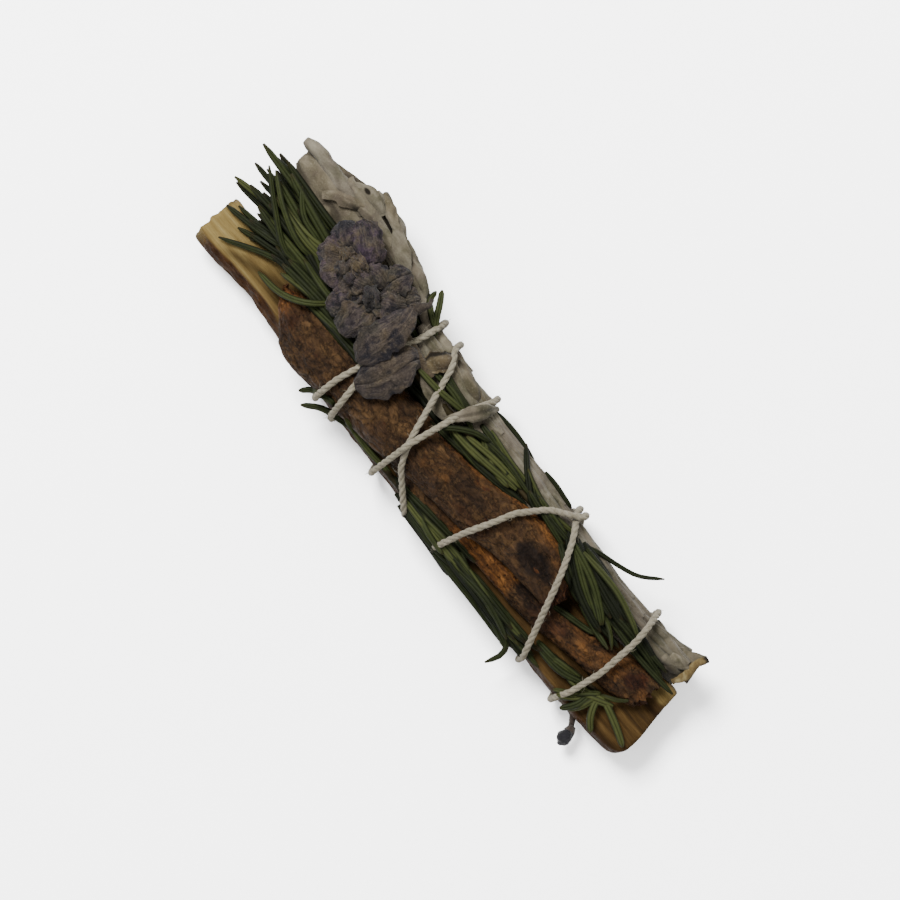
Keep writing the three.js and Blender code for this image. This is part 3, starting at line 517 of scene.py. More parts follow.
def petal_finish():
    """Dried larkspur: mottled grey purple with fanned veins; tone turns it cream, which also paints
    highlights on ridges, and the dark share turns it navy, which also paints shade in its valleys.
    """
    f = Finish("larkspur_petal", 0.18, 0.174, 0.162)
    patch = f.noise(1.3, 5, 0.68, None, 0.8)
    felt = f.noise(0.24, 3, 0.75)
    violet = f.noise(2.4, 3, 0.55)
    across, onward = f.value("across"), f.value("along")
    fan = f.joined(f.sums("MULTIPLY", across, 7.5), f.sums("MULTIPLY", onward, 2.2),
                   f.sums("MULTIPLY", violet, 9))
    veins = f.noise(1, 3, 0.6, fan, 0.25)
    place = f.lengthwise()
    grey = f.ramp(patch, (0.3, 42, 37, 40), (0.46, 68, 62, 64), (0.6, 92, 84, 80), (0.78, 112, 102, 92))
    cream = f.ramp(patch, (0.3, 62, 52, 38), (0.55, 108, 95, 72), (0.8, 146, 132, 104))
    navy = f.ramp(patch, (0.3, 20, 20, 25), (0.7, 52, 50, 58))
    pink = f.ramp(patch, (0.3, 46, 36, 50), (0.6, 92, 76, 96), (0.8, 118, 98, 116))
    first = f.span(place, -27.5, -29.5, 0.15, 0.9)
    grey = f.blend(f.sums("MULTIPLY", f.span(violet, 0.44, 0.56), first), grey, pink)
    green = f.ramp(patch, (0.3, 38, 38, 34), (0.6, 76, 75, 66), (0.8, 104, 102, 90))
    middle = f.sums("MULTIPLY", f.span(place, -29, -27.5, 0.1, 0.75), f.span(place, -20.5, -22, 0.25, 1))
    grey = f.blend(f.sums("MULTIPLY", f.span(violet, 0.56, 0.42), middle), grey, green)
    brown = f.ramp(patch, (0.3, 46, 40, 36), (0.55, 88, 78, 70), (0.8, 118, 106, 94))
    base = f.spotted(grey, (place, -21.5, -20, 0.7, brown),
                     (veins, 0.52, 0.62, 0.45, (122, 112, 100)), (veins, 0.48, 0.38, 0.5, (42, 36, 40)))
    # Cream includes painted highlights on the crumple's ridges; navy includes painted shade in its valleys
    base = f.blend(f.value("tone"), base, cream)
    base = f.blend(f.value("stain"), base, navy)
    base = f.spotted(base, (felt, 0.52, 0.7, 0.55, (30, 27, 29)), (felt, 0.46, 0.34, 0.3, (128, 118, 108)))
    height = f.sums("ADD", f.sums("MULTIPLY", felt, 0.7), f.sums("MULTIPLY", veins, 1.6))
    return f.finish(base, 0.9, height, 0.2, sheen=0.03, specular=0.04)


def bud_finish():
    """A dried blue-black bud on a brown stalk."""
    f = Finish("larkspur_bud_skin", 0.21, 0.205, 0.2)
    patch = f.noise(0.8, 4, 0.6)
    dark = f.ramp(patch, (0.3, 14, 14, 18), (0.6, 33, 32, 39), (0.8, 58, 56, 64))
    brown = f.ramp(patch, (0.3, 50, 39, 33), (0.7, 96, 82, 73))
    base = f.blend(f.value("stain"), dark, brown)
    return f.finish(base, 0.7, f.noise(0.25, 3, 0.7), 0.15, sheen=0.1, specular=0.06)


def twine_finish():
    """Natural cotton: creamy plies of fine fibres, with painted shade in the grooves between the plies."""
    f = Finish("cotton_twine", 0.18, 0.176, 0.16)
    groove_shade_place = f.value("across")
    soft = f.noise(0.6, 4, 0.7)
    base = f.ramp(soft, (0.3, 150, 142, 124), (0.55, 180, 172, 156), (0.8, 204, 198, 184))
    # Painted shade on the inner side of each ply, where the plies meet
    base = f.blend(f.span(groove_shade_place, 0.0, 0.6, 0.35, 0), base, (120, 111, 92))
    base = f.blend(f.value("tone"), base, (100, 90, 72))
    fine = f.noise(0.14, 2, 0.7)
    return f.finish(base, 0.95, fine, 0.08, sheen=0.05, specular=0.04)


# The split stick

stick_near = along([(HEAD, -7), (-45, -7), (-38, -6.3), (-30, -6.9), (-20, -7.5), (0, -8), (20, -8.4),
                    (34, -8.8), (44, -8.4), (48, -7.9), (49.2, -7.4), (FOOT, -6.4)])
stick_far = along([(HEAD, 1.6), (-45, 1.4), (-35, 2.2), (-20, 3.5), (0, 4.5), (20, 5.2), (FOOT, 5.9)])
stick_bevel = along([(HEAD, 1.7), (-35, 1.6), (-20, 1.2), (20, 1.1), (FOOT, 0.8)])


def stick_top(x, y):
    return STICK_TOP + 0.18 * np.sin(0.22 * x + 0.9 * y) + 0.12 * np.sin(0.5 * x - 1.3 * y)


def stick_skew(x, y):
    return x - 1.7 * smooth(x, FOOT - 8, FOOT) * smooth(y, -5, 5.9)


def stick_ring(x, count=150):
    near, far, bevel = (float(g(x)) for g in (stick_near, stick_far, stick_bevel))
    corners = [(near + 1.6, STICK_BOTTOM), (near + 0.5, STICK_BOTTOM + 1.2), (near, STICK_BOTTOM + 2.6),
               (near + 0.45 * bevel, STICK_TOP - 1.4)]
    for s in np.linspace(0, 1, 9):
        y = mix(near + bevel, far - 0.5, s)
        corners.append((y, float(stick_top(x, y)) - (0.15 if s in (0, 1) else 0)))
    corners += [(far, STICK_TOP - 0.9), (far, STICK_BOTTOM + 0.9), (far - 0.7, STICK_BOTTOM)]
    ring = np.array(corners + corners[:1])
    run = distances(ring)
    even = read(ring, run, np.linspace(0, run[-1], count, endpoint=False))
    return (np.roll(even, 1, 0) + 2 * even + np.roll(even, -1, 0)) / 4


def stick():
    stations = np.concatenate([np.linspace(HEAD, FOOT - 1.2, 290), np.linspace(FOOT - 1, FOOT, 5)])
    flat = np.array([stick_ring(x) for x in stations])
    x = stations[:, None] + 0 * flat[..., 0]
    y, z = flat[..., 0], flat[..., 1]
    turn = np.roll(flat, -1, 1) - np.roll(flat, 1, 1)
    out = unit(np.stack([-turn[..., 1], turn[..., 0]], -1))
    if (out * (flat - flat.mean(1, keepdims=True))).sum() < 0:
        out = -out
    where = points(x, y, z)
    near = stick_near(x)
    high = smooth(z, 3.2, 4.6)
    edge = near + stick_bevel(x) * mix(0.95, 0.8, smooth(x, -34, -20)) + 0.35 * noise(where, (4, 4, 4), 3)
    bark = high * (1 - smooth(y, edge - 0.25, edge + 0.25)) * smooth(x, -50, -47)
    plain = mix(0.35, 1, smooth(x, -36, -20))
    grain = plain * (0.09 * noise(where, (16, 0.7, 0.7), 1) + 0.06 * noise(where, (7, 0.35, 0.35), 2))
    splits = -0.22 * smooth(noise(where, (11, 0.5, 5), 7), 0.55, 0.8)
    relief = mix(grain + splits, 0.2 * rough(where, (2.2, 1.2, 1.2), 4), bark)
    ends = smooth(x, HEAD, HEAD + 0.8) * (1 - 0.6 * smooth(x, FOOT - 0.8, FOOT))
    relief = relief * ends - 0.25 * (1 - smooth(x, HEAD, HEAD + 0.5)) - 0.2 * smooth(x, FOOT - 0.4, FOOT)
    y, z = y + out[..., 0] * relief, z + out[..., 1] * relief
    z = np.maximum(z, STICK_BOTTOM)
    ragged = 0.35 * rough(points(0 * y, y, z), (1, 1.1, 1.1), 9) * (1 - smooth(x, HEAD, HEAD + 3))
    rings = points(stick_skew(x, y) + ragged, y, z)
    # Both cut ends go on as rings towards their middles, so that they show end grain
    head, foot = rings[0], rings[-1]
    shares = np.linspace(0, 1, 12)[1:, None, None]
    inner = mix(foot, foot.mean(0), shares * 0.98)
    outer = mix(head, head.mean(0), shares[::-1] * 0.98)
    for cap in (inner, outer):
        cap[..., 0] += 0.12 * rough(cap, (1, 1.3, 0.7), 8)
    rings = np.concatenate([outer, rings, inner])
    pale = 1 - smooth(rings[..., 0], -48, -28)
    stripe = np.exp(-((rings[..., 1] - 1.3) / 0.8) ** 2) * smooth(rings[..., 0], 43, 46)
    stripe = stripe + 0.9 * np.exp(-((rings[..., 1] + 7.4) / 0.9) ** 2) * smooth(rings[..., 0], 40, 48)
    rx, ry = rings[..., 0], rings[..., 1]
    # Painted shadow: a soft brown band slants over the head's pale face on the near side of a stray needle;
    # the wood also darkens towards its edges
    shade = 0.8 * np.exp(-((ry - mix(-4.2, -0.6, (rx + 44) / 12)) / 0.75) ** 2) * smooth(rx, -47, -43)
    shade = shade * (1 - smooth(rx, -34, -31)) + 0.75 * (1 - smooth(ry, -7, -5)) * (1 - smooth(rx, -36, -30))
    shade = shade + 0.7 * (1 - smooth(rx, -50, -49.2)) * smooth(ry, -2, 1)
    # Painted shadow on the wood just past the foot end of the outer bark
    shade = shade + 0.9 * ellipse(rings, 27.6, 0.9, 2.2, 1.6, 15)
    dark = np.clip(stripe + shade, 0, 1) * 0.85
    amber = np.clip(1 - pale - 0.6 * ellipse(rings, 46.4, 4, 2.4, 1.7, 17), 0, 1)
    stain = np.concatenate([np.repeat(bark[:1], 11, 0), bark, np.repeat(bark[-1:], 11, 0)])
    pile = Pile()
    pile.tube(rings, tone=amber, across=dark, stain=stain)
    pile.make("palo_santo_split_stick", "palo_santo_stick", wood_finish(), 50)
    return rings


# The two barks

OUTER_BARK = {
    "from": -35, "to": 26.2,
    "near": along([(-35, -2.2), (-33, -4.2), (-31, -5.8), (-29, -7.4), (-25.5, -8), (-21, -7.6), (-15, -7),
                   (-8, -6.3), (-2, -5), (4, -4.2), (10, -3.6), (16, -2.2), (22, -1.7), (26.2, -1.3)]),
    "far": along([(-35, -1), (-33, -0.2), (-30, 0.7), (-25, 1.4), (-13, 2.6), (-8, 3.4), (-3, 2.9), (2, 3.3),
                  (8, 4.7), (14, 6.3), (20, 6.3), (24, 5.2), (26.2, 2.2)]),
    "crest": along([(-35, 9.2), (-31, 11), (-26, 12.4), (-18, 13.3), (-5, 13.5), (10, 13.6), (20, 13.4),
                    (26.2, 12.9)]),
    "near_edge": along([(-35, 8.5), (-29, 8.4), (-14, 8.4), (-6, 9.8), (0, 10.8), (26.2, 10.9)]),
    "far_edge": along([(-35, 8.6), (-20, 9), (0, 10), (10, 10.6), (26.2, 11)]),
}
INNER_BARK = {
    "from": -5, "to": 47,
    "near": along([(-5, -5.9), (0, -6.3), (5, -6.2), (10, -5.6), (15, -5.3), (25, -4.9), (30, -3.9),
                   (35, -3.1), (40, -2.3), (44, -1.3), (47, 0.2)]),
    "far": along([(-5, -1), (10, -0.3), (26, 0.2), (30, 0.6), (34, 1.5), (38, 3), (42, 4.5), (45, 4.9),
                  (47, 4.4)]),
    "crest": along([(-5, 9.5), (0, 10), (20, 10.1), (28, 10.6), (36, 10.8), (44, 10), (47, 9.3)]),
    "near_edge": along([(-5, 7.8), (47, 7.7)]),
    "far_edge": along([(-5, 7.8), (30, 7.9), (47, 8.1)]),
}


def bark_point(bark, x, turn):
    near, far = bark["near"](x), bark["far"](x)
    edge = np.where(turn < 0, bark["near_edge"](x), bark["far_edge"](x))
    angle = turn * math.pi / 2
    relief = 0.12 * np.sin(1.7 * x + 4 * turn) + 0.1 * np.sin(0.8 * x - 7 * turn)
    y = (near + far) / 2 + (far - near) / 2 * np.sin(angle)
    z = mix(edge, bark["crest"](x), np.cos(angle)) + relief * np.cos(angle)
    return points(x, y, z)


def bark_top(bark, x, y):
    x, y = np.broadcast_arrays(np.asarray(x, float), np.asarray(y, float))
    near, far = bark["near"](x), bark["far"](x)
    s = (2 * y - near - far) / (far - near)
    turn = 2 * np.arcsin(np.clip(s, -1, 1)) / math.pi
    z = bark_point(bark, x, turn)[..., 2]
    inside = (x >= bark["from"]) & (x <= bark["to"]) & (np.abs(s) <= 1)
    return np.where(inside, z, 0)


def ellipse(p, x, y, rx, ry, seed):
    """A soft spot in plan with a ragged rim."""
    far = np.hypot((p[..., 0] - x) / rx, (p[..., 1] - y) / ry)
    return 1 - smooth(far + 0.35 * rough(p, 2.2, seed), 0.7, 1.1)


def bark_layer(pile, bark, start, end, drop, thickness, ragged, seed, paint, step=0.25, columns=74):
    """One layer of a bark tile between two places along it, dropped below the outer face."""
    rows = int((end - start) / step)
    x = np.linspace(start, end, rows)[:, None]
    turn = np.linspace(-1, 1, columns)[None, :]
    tooth = points(0 * turn, 6 * turn + drop, 0 * turn)
    foot = ragged * (noise(tooth, 0.8, seed) + 0.6 * noise(tooth, 0.25, seed + 1))
    head = 0.5 * noise(tooth, 1.4, seed + 2)
    moved = x + foot * smooth(x, end - 2.5, end) + head * (1 - smooth(x, start, start + 2.5))
    p = bark_point(bark, np.clip(moved, bark["from"], bark["to"]) + 0 * turn, turn + 0 * x)
    p[..., 0] = moved
    normal = unit(np.cross(np.gradient(p, axis=0), np.gradient(p, axis=1)))
    normal = normal * np.sign(normal[..., 2:3].mean())
    width = (bark["far"](x) - bark["near"](x)) * 0.62
    u = 0.55 * p[..., 0] + 0.8 * noise(p, 1.7, seed + 6)
    v = turn * width + 0.8 * noise(p, 1.7, seed + 7)
    inside, level = plates(u, v, 1.5, seed)
    small, chip = plates(u * 1.3, v * 1.3, 0.6, seed + 9)
    relief = 0.2 * rough(p, (5, 2.4, 2.4), seed + 3) + 0.1 * rough(p, (1.2, 0.7, 0.7), seed + 5)
    relief = relief + 0.16 * level * smooth(inside, 0, 0.35) - 0.14 * (1 - smooth(inside, 0, 0.3))
    relief = relief + 0.06 * chip - 0.07 * (1 - smooth(small, 0, 0.4))
    furrow = -0.3 * smooth(noise(p, (6, 0.7, 1.4), seed + 8), 0.5, 0.8)
    away = np.minimum(1 - np.abs(turn), 0.25) / 0.25
    p = p + normal * ((relief + furrow) * (0.35 + 0.65 * away) - drop)[..., None]
    warm, dark, red = paint(p, turn + 0 * x)
    dark = np.clip(dark + 0.4 * (1 - smooth(inside, 0, 0.2)), 0, 1)
    pile.sheet(p, thickness * mix(0.75, 1, away), tone=warm, stain=dark, across=red,
               along=0.5 + 0.4 * level + 0.2 * chip)
    return p


def outer_paint(p, turn):
    x, y = p[..., 0], p[..., 1]
    warm = 0.02 + 0.14 * smooth(x, -14, 0) + 0.2 * smooth(x, -4, 8) * smooth(turn, 0.1, 0.6)
    warm = warm + 0.28 * np.exp(-((turn - 0.8) / 0.14) ** 2) * smooth(x, -14, -8)
    warm = warm + 0.14 * smooth(x, 13, 19) * smooth(y, 1, 4) + 0.2 * ellipse(p, -1, -0.5, 3.4, 2, 3)
    warm = warm + 0.7 * (1 - smooth(x, -34, -29.5)) + 0.35 * ellipse(p, -13, 2, 3, 1.2, 4)
    dark = 0.85 * ellipse(p, 20.4, 1.6, 4.2, 2.3, 1) + 0.5 * ellipse(p, 6, 0.8, 4, 1.2, 2)
    # The near rim, which faces away from the key light, is painted darker as shade
    dark = dark + 0.4 * ellipse(p, -9.6, 1.4, 1.6, 1.1, 5) + 0.4 * smooth(turn, -0.75, -0.95)
    red = 0.75 * smooth(x, 24, 25.6) + 0.35 * ellipse(p, 9, -2, 3, 1, 6)
    red = red + 0.5 * (1 - smooth(x, -34.6, -32)) + 0.4 * ellipse(p, -31, -3.4, 2, 2.6, 7)
    return np.clip(warm, 0, 1), np.clip(dark, 0, 0.9), np.clip(red, 0, 1)


def inner_paint(p, turn):
    x = p[..., 0]
    warm = 0.26 + 0.95 * np.exp(-((x - 14) / 6) ** 4) + 0.16 * smooth(x, 26, 34)
    red = 0.95 * ellipse(p, 42.6, 1.6, 1.9, 2, 11) + 0.45 * ellipse(p, 28, -2, 4, 2, 12)
    dark = 0.5 * ellipse(p, 23, -2.2, 3, 1.4, 13) + 0.4 * ellipse(p, 42.2, 1.6, 1.6, 1.9, 16)
    # Painted shade on the near rim, which faces away from the key light
    dark = dark + 0.25 * smooth(turn, -0.6, -0.95)
    pale = ellipse(p, 45.6, 4, 1.6, 1.8, 14)
    warm = warm * (1 - pale)
    return np.clip(warm, 0, 1), np.clip(dark, 0, 0.9), np.clip(red, 0, 1)


def raw_paint(p, turn):
    return 0.5 + 0 * turn, 0.1 + 0 * turn, 0.8 + 0 * turn


def barks():
    pile = Pile()
    top = bark_layer(pile, OUTER_BARK, -35, 25.6, 0, 0.6, 0.75, 20, outer_paint)
    bark_layer(pile, OUTER_BARK, -34.2, 26.2, 0.5, 0.6, 0.9, 40, raw_paint, 0.5, 40)
    pile.make("cinnamon_outer_quill", "cinnamon_bark_outer",
              bark_finish("cinnamon_outer_bark"), 70)
    pile = Pile()
    low = bark_layer(pile, INNER_BARK, -5, 45.4, 0, 0.55, 0.5, 60, inner_paint)
    bark_layer(pile, INNER_BARK, -4.4, 45.9, 0.45, 0.5, 0.7, 80, raw_paint, 0.5, 40)
    pile.make("cinnamon_inner_quill", "cinnamon_bark_inner",
              bark_finish("cinnamon_inner_bark"), 70)
    return top, low


# The roll of sage

sage_middle = along([(ROLL_HEAD, 9.9), (-15, 8.8), (-5, 7.9), (5, 7.5), (25, 6.9), (35, 6.8), (42, 7.4),
                     (ROLL_FOOT, 8.4)])
sage_height = along([(ROLL_HEAD, 8.4), (-15, 7.6), (-5, 6.9), (5, 6.6), (20, 6.5), (ROLL_FOOT, 6.4)])
sage_half_width = along([(ROLL_HEAD, 2.4), (-15, 3.2), (-5, 3.2), (15, 3.1), (35, 2.6), (42, 2.5),
                         (ROLL_FOOT, 2.6)])
sage_half_height = along([(ROLL_HEAD, 2.2), (-15, 3.2), (-5, 3.5), (15, 3.6), (35, 3.3), (ROLL_FOOT, 3)])


def on_roll(x, turn, lift):
    return points(
        x,
        sage_middle(x) + (sage_half_width(x) + lift) * np.sin(turn),
        sage_height(x) + (sage_half_height(x) + lift) * np.cos(turn),
    )


def roll_top(x, y):
    s = (y - sage_middle(x)) / sage_half_width(x)
    z = sage_height(x) + sage_half_height(x) * np.sqrt(np.clip(1 - s * s, 0, 1))
    return np.where((x >= ROLL_HEAD) & (x <= ROLL_FOOT) & (np.abs(s) <= 1), z, 0)


# Leaves along the roll: start, end, turn at both, half width, curl, lift off the roll, tan share
WRAPPED = [
    (-20, 6, 1.5, 1.5, 2.0, 1.0, 0.3, 0.1), (0, 27, 1.5, 1.4, 2.0, 0.9, 0.35, 0.0),
    (22, 45.4, 1.4, 1.5, 1.9, 0.9, 0.35, 0.05), (-19, -1, 1.0, 1.15, 1.2, 1.3, 0.7, 0.2),
    (-3.5, 16, 0.95, 1.1, 1.5, 1.1, 0.65, 0.0), (12, 33, 1.15, 0.9, 1.5, 1.1, 0.6, 0.0),
    (28, 45.8, 0.95, 1.1, 1.6, 1.0, 0.65, 0.0), (-18, 2, 0.45, 0.6, 1.4, 1.1, 0.7, 0.2),
    (-2, 20, 0.5, 0.55, 1.5, 1.1, 0.5, 0.1), (17, 38, 0.6, 0.45, 1.6, 1.0, 0.5, 0.1),
    (32, 46.2, 0.3, 0.4, 1.6, 1.0, 0.5, 0.2), (-16, 8, 0.0, 0.0, 1.6, 1.0, 0.4, 0.2),
    (4, 30, -0.1, 0.0, 1.6, 1.0, 0.4, 0.2), (-12, -3, 1.35, 0.8, 0.9, 1.3, 1.0, 0.3),
    (-9, -2, 0.7, 1.3, 0.8, 1.4, 1.1, 0.1), (-16, -8, 1.1, 1.45, 0.9, 1.3, 0.9, 0.4),
    (38, 45.6, 1.3, 0.6, 1.1, 1.3, 0.9, 0.1), (36, 44.6, 0.6, 1.3, 0.9, 1.4, 1.0, 0.2),
    (-22, 14, 2.4, 2.3, 2.4, 0.9, 0.3, 0.2), (10, 45, 2.4, 2.3, 2.4, 0.9, 0.3, 0.1),
    (-20, 14, 3.4, 3.5, 2.4, 0.9, 0.3, 0.3), (8, 45, 3.4, 3.3, 2.4, 0.9, 0.3, 0.2),
    (-18, 16, -1.2, -1.3, 2.2, 0.9, 0.3, 0.2), (12, 44, -1.2, -1.3, 2.2, 0.9, 0.3, 0.2),
]


def wrapped_leaf(pile, plan, seed):
    start, end, turn_a, turn_b, half, curl, lift, tan = plan
    t = np.linspace(0, 1, max(int((end - start) / 0.5), 24))
    x = mix(start, end, t)
    sway = 0.12 * noise(points(x, 0 * x, 0 * x), (6, 1, 1), seed)
    turn = mix(turn_a, turn_b, t) + sway
    spine = on_roll(x, turn, lift + 0.15 * noise(points(x, 5 + 0 * x, 0 * x), (5, 1, 1), seed + 1))
    out = unit(points(0 * x, np.sin(turn), np.cos(turn)))
    tangent = unit(np.gradient(spine, axis=0))
    side = unit(np.cross(out, tangent))
    s = np.linspace(-1, 1, 19)[None, :]
    shape = along([(0, 0.35), (0.12, 0.8), (0.5, 1), (0.85, 0.8), (1, 0.3)])(t)[:, None]
    edge = 1 + 0.2 * noise(points(x[:, None] + 0 * s, 9 * np.sign(s), 0 * s), (2.2, 3, 1), seed + 2)
    radius = (half * shape * edge / curl)[..., None]
    angle = (s * curl)[..., None]
    grid = spine[:, None] - side[:, None] * radius * np.sin(angle)
    grid = grid + out[:, None] * radius * (np.cos(angle) - 1)
    folds = 0.2 * noise(points(x[:, None] + 0 * s, 3 * s + 0 * shape, 0 * s * shape), (6, 0.7, 1), seed + 3)
    folds = folds + 0.1 * rough(grid, 2.2, seed + 4) - 0.14 * np.exp(-(s / 0.08) ** 2)
    grid = grid + out[:, None] * folds[..., None]
    spread = np.clip(tan + 0.3 * noise(grid, 5, seed + 5), 0, 1)
    # Painted shade at the leaf's edges and down its folds, where the gaps between the leaves lie in shade;
    # towards the foot the leaves are also darker in colour
    gap_shade_and_dark_foot = 0.35 * smooth(np.abs(s), 0.75, 1) - 1.2 * folds + 0.3 * noise(grid, (6, 2, 2), seed + 6)
    gap_shade_and_dark_foot = np.clip(gap_shade_and_dark_foot, 0, 0.6)
    gap_shade_and_dark_foot = np.clip(gap_shade_and_dark_foot + 0.34 * smooth(x, 18, 30)[:, None], 0, 0.6)
    pile.tube(two_sided(grid, 0.4), along=t[:, None], tone=both_faces(spread, grid),
              stain=both_faces(gap_shade_and_dark_foot, grid))


def both_faces(value, grid):
    """A value for each point of a grid, and the same again for its other face."""
    value = np.broadcast_to(value, grid.shape[:2])
    return np.concatenate([value, value[:, ::-1]], 1)


def two_sided(top, thickness):
    """The rings of a thin sheet about a grid of points."""
    normal = unit(np.cross(np.gradient(top, axis=0), np.gradient(top, axis=1)))
    half = normal * thickness / 2
    return np.concatenate([top + half, (top - half)[:, ::-1]], 1)


def leaf_shape(half, base=0.6, tip=0.4):
    shares = [(0, base), (0.25, 0.85), (0.5, 1), (0.8, 0.7), (1, tip)]
    return along([(t, half * share) for t, share in shares])


def petal_shape(half):
    shares = [(0, 0.35), (0.35, 0.85), (0.65, 1), (0.88, 0.7), (1, 0.2)]
    return along([(t, half * share) for t, share in shares])


# Free leaves: spine, half widths, curl, crumple, pleats, tan share, shade
FREE_LEAVES = [
    ([(-26, 10.6, 9.4), (-33, 12.0, 9.9), (-39, 12.9, 10.1), (-44, 13.1, 9.9), (-48.3, 12.7, 9.3)],
     along([(0, 2.0), (0.35, 2.9), (0.65, 3.4), (0.85, 2.9), (0.95, 2.1), (1, 1.2)]),
     0.45, 0.24, 0.36, 0.3, 0.0),
    ([(-36, 14.0, 10.2), (-42, 14.9, 10.7), (-47, 15.2, 10.5), (-49.9, 14.8, 9.9)],
     along([(0, 1.9), (0.4, 1.5), (0.7, 1.2), (0.93, 1.1), (1, 0.55)]), 1.4, 0.1, 0.0, 0.05, 0.0),
    ([(-18, 11.6, 9.6), (-26, 14.0, 10.1), (-32, 16.4, 9.9), (-37.4, 18.0, 9.4)],
     along([(0, 1.3), (0.4, 1.9), (0.72, 1.9), (0.92, 1.1), (1, 0.4)]), 0.7, 0.3, 0.2, 0.1, 0.1),
    ([(-18, 12, 8.2), (-27, 14.6, 8.4), (-34, 16.9, 8.3), (-42.4, 15.9, 8.6)],
     leaf_shape(1.7), 0.6, 0.3, 0.2, 0.5, 0.45),
    ([(-15, 10.6, 9), (-20, 12.8, 8.8), (-24, 14.2, 8.6), (-28, 15.6, 8.2)],
     leaf_shape(1.3), 0.7, 0.3, 0.2, 0.1, 0.1),
    ([(-31, 15.2, 10.4), (-35, 15.6, 11), (-38, 15.9, 10.8), (-41.4, 16.1, 10.2)],
     leaf_shape(0.9, 0.6, 0.7), 1.1, 0.3, 0.0, 0.15, 0.0),
    ([(-34, 16.4, 10.6), (-36.4, 17, 11), (-38.6, 16.6, 10.7), (-40.8, 15.4, 10.4)],
     leaf_shape(1.1, 0.5, 0.4), 0.5, 0.5, 0.0, 0.2, 0.2),
    ([(-24, 13.2, 10.4), (-27, 14.6, 11.2), (-29.6, 16, 11), (-32, 17.6, 10.2)],
     leaf_shape(1.2, 0.5, 0.4), 0.5, 0.5, 0.0, 0.0, 0.25),
    ([(-20, 12.4, 10.6), (-22.6, 14.2, 10.9), (-25, 14.8, 10.8), (-27.6, 14, 10.9)],
     leaf_shape(1.1, 0.5, 0.4), 0.5, 0.5, 0.0, 0.1, 0.1),
    ([(-42, 11.6, 10.4), (-40.6, 13, 11), (-38.6, 14, 11.2), (-36.4, 15.4, 10.8)],
     leaf_shape(0.9, 0.5, 0.4), 0.5, 0.4, 0.0, 0.3, 0.0),
    ([(-27, 13.4, 10.2), (-31, 14.8, 11.1), (-34, 15, 11.2), (-37, 14.6, 10.9)],
     leaf_shape(1.0), 1.1, 0.35, 0.0, 0.3, 0.0),
    ([(-30.6, 16.8, 10.6), (-33, 17.6, 11), (-35, 18.5, 10.4), (-36.4, 19, 9.6)],
     leaf_shape(0.8), 1.0, 0.35, 0.0, 0.2, 0.0),
    ([(-16, 10.6, 10.4), (-19, 12.2, 10.9), (-23, 13.6, 10.8), (-27, 15.0, 10.2)],
     leaf_shape(0.9), 1.0, 0.3, 0.0, 0.0, 0.0),
    ([(-18, 12.8, 9.8), (-22, 13.8, 10.6), (-27, 14.0, 10.9), (-31, 14.4, 10.8)],
     leaf_shape(0.8), 1.1, 0.35, 0.0, 0.3, 0.1),
    ([(-20, 13.8, 9.6), (-23, 15, 10.2), (-26, 16, 10.2), (-29, 16.9, 9.8)],
     leaf_shape(0.7), 1.0, 0.35, 0.0, 0.1, 0.0),
    ([(-11, 11.2, 10.9), (-11.8, 9.8, 12.3), (-12.6, 8.2, 12.4), (-13.6, 6.6, 11.9)],
     leaf_shape(1.7, 0.6, 0.4), 0.45, 0.45, 0.2, 0.8, 0.05),
    ([(-2, 7.6, 10), (-5, 5.6, 11), (-9, 5.6, 11.6), (-13, 6.8, 11.7)],
     leaf_shape(1.2, 0.5, 0.3), 0.7, 0.15, 0.0, 0.1, 0.0),
    ([(-3.4, 9.6, 10.2), (-5.6, 10.6, 10.9), (-8, 11.2, 10.6), (-10.4, 11.8, 9.8)],
     leaf_shape(0.9), 1.0, 0.35, 0.0, 0.2, 0.1),
    ([(-10.2, 10.4, 10.4), (-12, 11.4, 10.6), (-14, 11.8, 10.2), (-16, 12.2, 9.6)],
     leaf_shape(0.8), 1.0, 0.35, 0.0, 0.0, 0.0),
]


def ridged(p, size, seed):
    """Sharp folds: 1 on a ridge, -1 at its farthest."""
    return 1 - 2.6 * np.abs(noise(p, size, seed))


